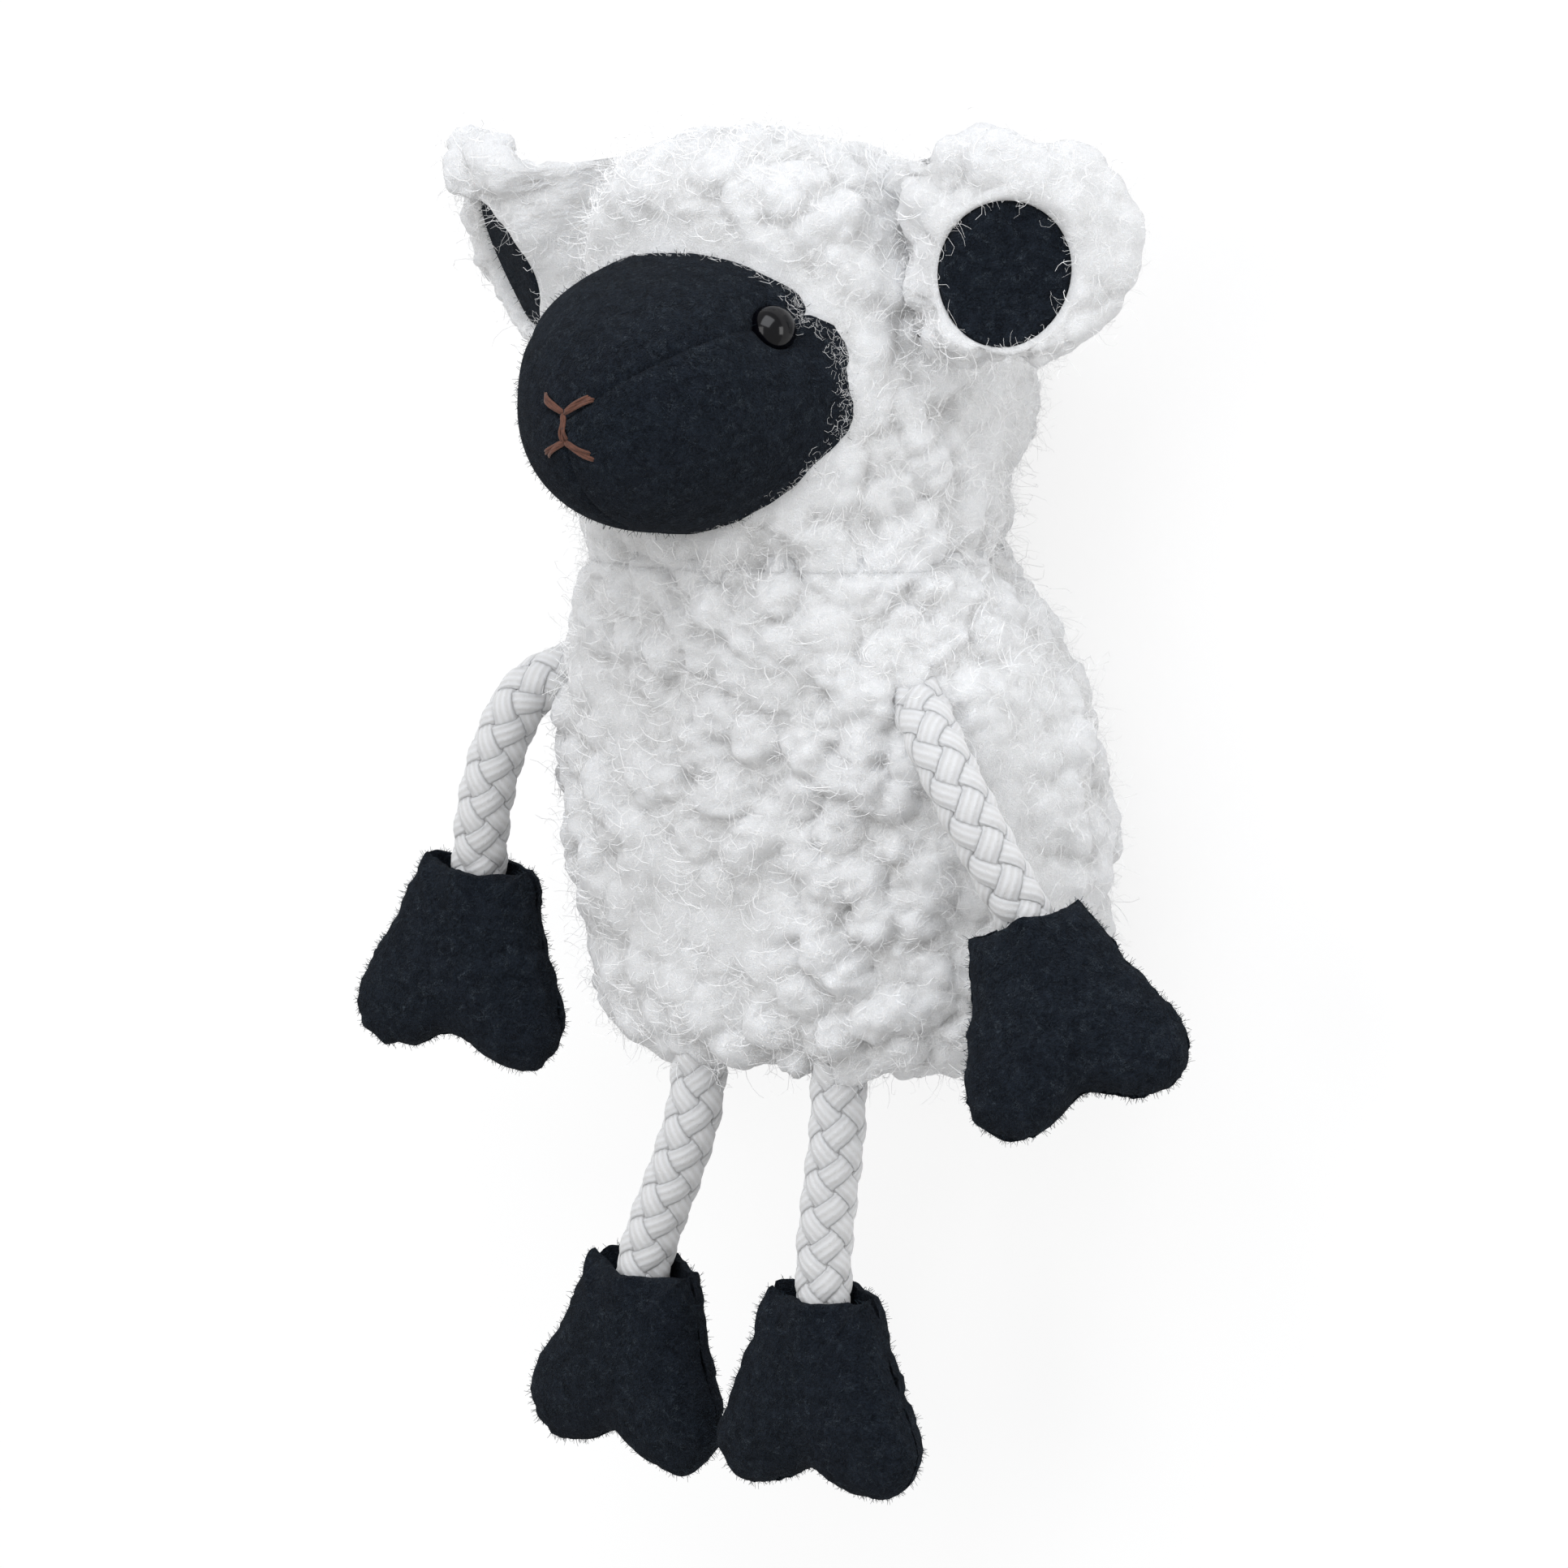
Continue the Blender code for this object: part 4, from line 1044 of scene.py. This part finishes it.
def hoof_grid(lip, around=124, outer=18):
    """Rings from the panel's inner middle out to its rim and back over its outer side.

    The felt closes to nothing at the sewn rim, but keeps its cut edge round the mouth.
    """
    rim = hoof_outline(lip, around)
    middle = np.array([0.0, -0.5 * HOOF_LENGTH])
    bearing = np.arctan2(rim[:, 0], rim[:, 1] - middle[1])
    mouth = np.exp(-((bearing / HOOF_MOUTH_ANGLE) ** 2))[None, :]
    inward = np.linspace(0.1, 1.0, HOOF_INNER)[:, None]
    back_out = np.sin(np.linspace(1.0, 0.05, outer) * math.pi / 2)[:, None]
    closing = np.sqrt(1 - back_out**12)
    thickness = FELT_THICKNESS * (mouth + (1 - mouth) * closing)
    rows = []
    for share, cover in ((inward, 0.0), (back_out, thickness)):
        flat = middle + (rim - middle)[None] * share[..., None]
        dome = mouth + (1 - mouth) * np.sqrt(np.maximum(0.0, 1 - share**2))
        height = RIM_GAP + HOOF_PUFF * dome + cover
        rows.append(np.concatenate([flat, height[..., None]], axis=-1))
    return np.concatenate(rows), middle


def hoof_place(points, ahead, turned):
    """The hoof's frame: its mouth at the cord's end and its toes the way it points."""
    ahead = Vector(ahead).normalized()
    up = Vector((math.sin(turned), 0.0, math.cos(turned)))
    across = (-ahead).cross(up).normalized()
    return looking(Vector(points[-1]), across, -ahead, across.cross(-ahead).normalized())


def build_hoof(points, hoof, ahead, turned):
    place = hoof_place(points, ahead, turned)
    for face, lip, flip in (("front", -LIP_STEP, 0.0), ("back", LIP_STEP, math.pi)):
        grid, middle = hoof_grid(lip)
        top = RIM_GAP + HOOF_PUFF
        whole = place @ Matrix.Rotation(flip, 4, "Y")
        turned_grid = placed(grid, whole)
        node = f"{hoof}_{face}_panel"
        first = whole @ Vector((*middle, top))
        last = whole @ Vector((*middle, top + FELT_THICKNESS))
        panel = closed_skin(node.replace("panel", "felt"), turned_grid, first, last, FELT)
        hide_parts(node)
        yield turned_grid[HOOF_INNER:]


hoof_skins = [skin for limb in LIMBS.values() for skin in build_hoof(*limb)]
print("hoof panels:", len(hoof_skins))

# %% [markdown]
# ## Ears
#
# An ear is a pad of fleece with a felt lining let into its front. Its rings go from
# the middle of the lining's seat out over the rolled border and round to the back.

# %% Ears
EAR_OUT, EAR_UP, EAR_HEIGHT = 0.0345, 0.0330, 0.0315
EAR_RADIUS, EAR_ROOT = 0.0113, 0.0190
EAR_SWEEP = math.radians(38)
EAR_LIFT = {1: 0.0, -1: math.radians(14)}
EAR_FOLD = {1: 0.0, -1: math.radians(23)}
EAR_PILE, EAR_BACK_PILE = 0.0030, 0.0036
EAR_CUP, EAR_ROOT_BEND = 0.0016, 0.0020
EAR_CURL, EAR_SHOULDER = 1.1, 0.03
EAR_DIVE_START, EAR_DIVE, EAR_DIVE_WIDTH = 0.0088, 0.0120, 0.0045
LINING_HALF, LINING_SHIFT = (0.0069, 0.0076), (-0.0023, -0.0021)
EAR_COLUMNS, EAR_ROWS, LINING_ROWS = 110, 70, 30


def ear_outlines(side, count):
    angle = full_turn(count)
    cosine, sine = np.cos(angle), np.sin(angle)
    tip = 1 + 0.07 * np.maximum(0.0, np.cos(angle - math.radians(48))) ** 6
    tip += EAR_SHOULDER * np.maximum(0.0, np.cos(angle - math.radians(125))) ** 3
    reach = np.where(cosine < 0, EAR_ROOT, EAR_RADIUS)
    fleece = tip[:, None] * np.stack([reach * cosine, EAR_RADIUS * sine], axis=1)
    pinch = 1 - 0.10 * np.maximum(0.0, np.cos(angle - math.radians(320))) ** 2
    lining = np.stack([LINING_HALF[0] * cosine, LINING_HALF[1] * sine], axis=1) * pinch[:, None]
    return fleece * [side, 1], (lining + np.array(LINING_SHIFT)) * [side, 1]


def cupped(flat, height, side):
    """Points over the ear's plane: its tip curls forward, and its root bends back into the head."""
    curl = np.where(flat[..., 0] * side < 0, -EAR_ROOT_BEND, EAR_CUP)
    past_lining = np.maximum(0.0, -flat[..., 0] * side - EAR_DIVE_START) / EAR_DIVE_WIDTH
    lift = curl * (flat[..., 0] / EAR_RADIUS) ** 2 - EAR_DIVE * (1 - np.exp(-(past_lining**2)))
    return np.concatenate([flat, (height + lift)[..., None]], axis=-1)


def ear_matrix(side):
    spot = Vector((side * EAR_OUT, NECK_Y + EAR_UP, EAR_HEIGHT))
    place = Matrix.Translation(spot)
    turns = ((side * EAR_SWEEP, "Y"), (side * EAR_LIFT[side], "Z"), (EAR_FOLD[side], "X"))
    for angle, axis in turns:
        place = place @ Matrix.Rotation(angle, 4, axis)
    return place


def build_ear(side, word):
    fleece, lining = ear_outlines(side, EAR_COLUMNS)
    middle = lining.mean(axis=0)
    matrix = ear_matrix(side)
    profile = through(
        [
            (-0.60, -SEAM_GAP), (-0.02, -SEAM_GAP), (0.02, 0.5 * EAR_PILE), (0.16, 0.80 * EAR_PILE),
            (0.55, 0.72 * EAR_PILE), (0.90, 0.25 * EAR_PILE), (1.0, -0.25 * EAR_BACK_PILE),
            (0.80, -0.85 * EAR_BACK_PILE), (0.30, -EAR_BACK_PILE), (-0.8, -1.02 * EAR_BACK_PILE),
        ],
        EAR_ROWS,
    )
    share, height = profile[:, :1, None], profile[:, 1:]
    flat = lining + share * np.where(share < 0, lining - middle, fleece - lining)
    rootward = np.clip(-(fleece[:, 0] * side) / EAR_ROOT, 0.0, 1.0)[None] ** 0.5
    thinner = 1 - rootward * np.clip(profile[:, :1], 0.0, 1.0) ** 0.6
    local = cupped(flat, np.where(height > 0, height * thinner, height), side)
    smooth = placed(local, matrix)
    pile, tip = woolly(smooth, EAR_CURL)
    seat = int((profile[:, 0] < 0.0).argmin())
    hold = np.clip((profile[:, 0] - 0.02) / 0.2, 0.0, 1.0)
    hold[profile[:, 1] < -EAR_BACK_PILE / 2] = 1.0
    hold[:seat] = 0.0
    pile = smooth + (pile - smooth) * hold[:, None, None]
    first = matrix @ Vector(cupped(middle, np.array(-SEAM_GAP), side))
    last = matrix @ Vector(cupped(middle, np.array(-1.02 * EAR_BACK_PILE), side))
    # On the ear the tip values are lifted a little towards one, so the painted shade in its valleys
    # is a little lighter.
    ear = closed_skin(f"ear_{word}_wool", pile, first, last, FLEECE, tip=0.1 + 0.9 * tip)
    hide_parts(f"ear_{word}_fleece")
    rings = through(
        [
            (0.1, 0.0), (0.55, 0.0), (1.0, 0.0), (1.02, 0.4), (0.985, 0.85), (0.93, 1.0),
            (0.7, 1.0), (0.4, 0.9), (0.1, 0.82),
        ],
        LINING_ROWS,
    )
    disc = middle + (lining - middle)[None] * rings[:, :1, None]
    felt = placed(cupped(disc, rings[:, 1:] * FELT_THICKNESS + 0 * disc[..., 0], side), matrix)
    first = matrix @ Vector(cupped(middle, np.array(0.0), side))
    last = matrix @ Vector(cupped(middle, np.array(0.8 * FELT_THICKNESS), side))
    patch = closed_skin(f"ear_{word}_felt", felt, first, last, FELT)
    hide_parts(f"ear_{word}_lining")
    return pile[seat:], felt[LINING_ROWS // 2 :]


ear_piles, ear_felts = zip(build_ear(1, "left"), build_ear(-1, "right"))
print("ears:", len(ear_piles))

# %% [markdown]
# ## Loose fibres
#
# What makes fleece look soft is its edge: fibres that curl out of every tuft. Each
# fibre starts on the pile, rises a little and winds round its tuft, and thousands of
# them are drawn as three-sided tubes in a few meshes.

# %% Fibres


def scatter(grid, count):
    """Spots on a grid's faces, drawn by area, and which way the grid faces there."""
    normal = outward(grid)
    rows, columns = grid.shape[:2]
    across = np.roll(grid, -1, axis=1) - grid
    down = np.roll(grid, -1, axis=0) - grid
    area = np.linalg.norm(np.cross(across, down), axis=-1)[:-1]
    area[:, -1] *= np.linalg.norm(across[:-1, -1], axis=-1) < 0.002
    area = area.ravel()
    cell = chance.choice(len(area), size=count, p=area / area.sum())
    row, column = cell // columns, cell % columns
    u, v = chance.random((2, count, 1))
    after = (column + 1) % columns
    spot = (grid[row, column] * (1 - u) + grid[row, after] * u) * (1 - v)
    spot += (grid[row + 1, column] * (1 - u) + grid[row + 1, after] * u) * v
    return spot, normal[row, column]


FIBRE_STEPS = 5
WOOL_THICK = (0.000024, 0.000042)
WOOL_LENGTH, WOOL_LOOP = (0.0008, 0.0032), (0.00035, 0.00100)
CLOSE_LIFT, WILD_LIFT = (0.0001, 0.0007), (0.0006, 0.0020)
BORDER_LENGTH, BORDER_LIFT = (0.0002, 0.0015), (0.0003, 0.0010)
BORDER_LOOP, BORDER_FINENESS = (0.00020, 0.00070), 0.5
ROOT_DEPTH, OFF_TABLE = 0.0002, 0.0002


def curled(spot, normal, swirl, length, lift, loop):
    """Paths that rise from a spot while winding in a loop beside it.

    Along a fibre, the rise follows a quarter sine, and the winding is a circle whose
    centre drifts the way of the swirl.
    """
    side = unit(np.cross(normal, swirl))
    t = np.linspace(0.0, 1.0, FIBRE_STEPS)[None, :, None]
    phase = chance.uniform(0.0, 2 * math.pi, (len(spot), 1, 1))
    turns = chance.uniform(0.4, 0.9, (len(spot), 1, 1))
    wind = phase + 2 * math.pi * turns * t
    drift = swirl[:, None] * (length[:, None, None] * t)
    ring = side[:, None] * (np.cos(wind) - np.cos(phase))
    ring += swirl[:, None] * (np.sin(wind) - np.sin(phase))
    up = normal[:, None] * (lift[:, None, None] * np.sin(t * math.pi / 2) - ROOT_DEPTH)
    return spot[:, None] + drift + loop[:, None, None] * ring + up


def spun(name, paths, fineness=1.0):
    """Fibres as thin three-sided tubes that get finer towards their ends."""
    paths[..., 2] = np.maximum(paths[..., 2], OFF_TABLE)
    taper = fineness * np.linspace(1.0, 0.5, FIBRE_STEPS)[None, :]
    tubes(name, paths, chance.uniform(*WOOL_THICK, (len(paths), 1)) * taper, 3, FIBRE)


def fibres(name, grid, count, wild=0.24, size=1.0):
    """Most fibres lie close on the pile, round its nearest tuft, and a wild share stands off."""
    spot, normal = scatter(grid, count)
    keep = (face_reach(spot) > 0.97) & (spot[:, 2] > 0.0030)
    spot, normal = spot[keep], normal[keep]
    many = len(spot)
    _, way = seeds_near(spot, CURLS[0], CURLS[2])
    spread = 0.5 * chance.normal(size=spot.shape) * np.linalg.norm(way, axis=-1, keepdims=True)
    swirl = unit(np.cross(normal, way) + spread)
    loose = chance.random(many) < wild
    length = size * chance.uniform(*WOOL_LENGTH, many) * np.where(loose, 0.8, 1.0)
    high, flat = chance.uniform(*WILD_LIFT, many), chance.uniform(*CLOSE_LIFT, many)
    lift = np.where(loose, high, flat)
    spun(name, curled(spot, normal, swirl, length, lift, chance.uniform(*WOOL_LOOP, many)))


def border_fibres(name, spot, normal, inward):
    """Fibres that reach from the fleece over the edge of a felt."""
    many = len(spot)
    swirl = unit(inward + 0.75 * chance.normal(size=spot.shape))
    length = chance.uniform(*BORDER_LENGTH, many)
    lift = chance.uniform(*BORDER_LIFT, many)
    loop = chance.uniform(*BORDER_LOOP, many)
    spun(name, curled(spot, normal, swirl, length, lift, loop), BORDER_FINENESS)


fibres("body_fibres", body_pile, 4700)
fibres("body_fibres_more", body_pile, 4700)
fibres("head_fibres", head_pile, 4100, wild=0.36)
fibres("head_fibres_more", head_pile, 4100, wild=0.36)

BORDER_SPOTS, BORDER_WIDTH = 9000, 0.0008
beside_felt = head_pile[np.abs(face_reach(head_pile) - 0.95) < 0.25]
spot, normal = scatter(np.concatenate([skin[:36] for skin in face_skins], axis=1), BORDER_SPOTS)
squares = (spot**2).sum(axis=1)[:, None] + (beside_felt**2).sum(axis=1) - 2 * spot @ beside_felt.T
near = squares.min(axis=1) < BORDER_WIDTH**2
spot, normal = spot[near], normal[near]
to_nose = np.array([0.0, FACE_Y, FACE_BASE + FACE_LENGTH]) - spot
along_felt = to_nose - normal * np.sum(to_nose * normal, axis=1, keepdims=True)
border_fibres("face_border_fibres", spot, normal, unit(along_felt))

for word, pile, felt in zip(("left", "right"), ear_piles, ear_felts):
    fibres(f"ear_{word}_fibres", pile, 1300, size=0.8)
    spot, normal = scatter(pile[:9], 240)
    border_fibres(f"ear_{word}_border_fibres", spot, normal, unit(felt.mean(axis=(0, 1)) - spot))
print("fibre triangles:", sum(count for name, count in added.items() if "fibres" in name))

# %% [markdown]
# ## Nap on the felt
#
# Felt is pressed fibre, and its surface is covered in hairs too short to see one by
# one. They show along the outline, where they make it ragged, so hairs of half a
# millimetre stand on every felt panel.

# %% Nap
NAP_LENGTH = (0.0002, 0.0007)
NAP_THICK, NAP_DEPTH = 0.000034, 0.0001
NAP_STEPS = 3
MOST_IN_ALL, MOST_A_PIECE = 1_000_000, 200_000


def nap(name, grids, count):
    """Short hairs that lean over the felt, each a bent tube."""
    spots, normals = zip(*(scatter(grid, count // len(grids)) for grid in grids))
    spot, normal = np.concatenate(spots), np.concatenate(normals)
    lean = unit(normal + 0.9 * chance.normal(size=spot.shape))
    bend = unit(normal + 1.4 * chance.normal(size=spot.shape))
    t = np.linspace(0.0, 1.0, NAP_STEPS)[None, :, None]
    length = chance.uniform(*NAP_LENGTH, (len(spot), 1, 1))
    paths = spot[:, None] + length * (lean[:, None] * t + 0.5 * bend[:, None] * t**2)
    paths -= normal[:, None] * NAP_DEPTH
    paths[..., 2] = np.maximum(paths[..., 2], OFF_TABLE)
    tubes(name, paths, NAP_THICK * np.linspace(1.0, 0.5, NAP_STEPS)[None, :], 3, FUZZ)


nap("face_nap", face_skins, 3200)
nap("ear_nap", ear_felts, 600)
nap("hand_nap", hoof_skins[:4], 1800)
nap("foot_nap", hoof_skins[4:], 1800)
nap("hand_rim_nap", [skin[:5] for skin in hoof_skins[:4]], 2600)
nap("foot_rim_nap", [skin[:5] for skin in hoof_skins[4:]], 2600)
print("felt panels with nap:", len(face_skins) + len(ear_felts) + len(hoof_skins))
in_all, largest = sum(added.values()), max(added.values())
print("triangles added:", in_all, "of which the largest piece has", largest)
assert in_all < MOST_IN_ALL and largest < MOST_A_PIECE, added

# %% [markdown]
# ## Table and light
#
# The background of the photograph is plain white, so the table is white to the camera
# but still takes the puppet's shadow. A large lamp beyond the head gives the bright
# crown, and two weaker ones fill the sides.

# %% Stage
TABLE_SIZE = 3.0
TABLE_GLOW = 0.85
STEEPEST = 0.95
SKY_LIGHT = 0.57


def build_table():
    """A white floor, part lit surface and part plain white for the camera's own rays."""
    corners = np.array([[-1, -1, 0], [1, -1, 0], [1, 1, 0], [-1, 1, 0]])
    mesh = make_mesh("table", TABLE_SIZE / 2 * corners, np.array([[0, 1, 2, 3]]))
    table = bpy.data.objects.new("table", mesh)
    bpy.context.collection.objects.link(table)
    shop = Shop("table_white")
    shop.finish(Base_Color=(0.93, 0.93, 0.93, 1.0), Roughness=0.9)
    glow = shop.node("ShaderNodeEmission", None, {"Color": (1.0, 1.0, 1.0, 1.0), "Strength": 1.0})
    rays = shop.node("ShaderNodeLightPath")
    seen = rays.out("Is Camera Ray") + rays.out("Is Glossy Ray") + rays.out("Is Transmission Ray")
    both = shop.node(
        "ShaderNodeMixShader", None,
        {0: seen * TABLE_GLOW, 1: Wire(shop, shop.shader.outputs[0]), 2: glow.out()},
    )
    shop.tree.links.new(both.out().socket, shop.tree.nodes["Material Output"].inputs["Surface"])
    mesh.materials.append(shop.material)


def lamp(name, direction, distance, size, power, colour=(1.0, 1.0, 1.0)):
    """A square lamp that looks at the puppet's middle from a direction."""
    target = Vector((0.0, 0.0, 0.025))
    back = Vector(direction).normalized()
    lean = Vector((0.0, 0.0, 1.0)) if abs(back.z) < STEEPEST else Vector((1.0, 0.0, 0.0))
    side = back.cross(lean).normalized()
    light = bpy.data.lights.new(name, "AREA")
    light.size = size
    light.energy = power
    light.color = colour
    obj = bpy.data.objects.new(name, light)
    obj.matrix_world = looking(target + back * distance, side, back.cross(side), back)
    bpy.context.collection.objects.link(obj)


build_table()
lamp("key_beyond_head", (0.25, 1.0, 0.95), 0.75, 0.6, power=4.4, colour=(0.93, 0.955, 1.0))
lamp("fill_left", to_camera * 0.7 - view_right * 0.9, 0.8, 0.45, power=1.9)
lamp("fill_right", to_camera * 0.7 + view_right * 0.9, 0.8, 0.45, power=2.7)

world = bpy.data.worlds.new("studio")
world.use_nodes = True
sky = world.node_tree.nodes["Background"]
sky.inputs["Color"].default_value = (1.0, 1.0, 1.0, 1.0)
sky.inputs["Strength"].default_value = SKY_LIGHT
bpy.context.scene.world = world
bpy.context.scene.view_settings.view_transform = "Standard"

# %% [markdown]
# ## Finish
#
# The stuffing stays inside and only needs a plain fibre look.

# %% Finish


def stuffing_material():
    shop = Shop("stuffing")
    tone = shop.noise(500.0, 3.0, 1.0)
    colour = shop.mix(tone, (0.80, 0.79, 0.75, 1.0), (0.94, 0.93, 0.90, 1.0))
    return shop.finish(Base_Color=colour, Roughness=0.95, Normal=shop.bump(tone, 0.0004))


stuffing = bpy.data.objects["head_stuffing"]
for material_slot in stuffing.material_slots:
    material_slot.material = stuffing_material()
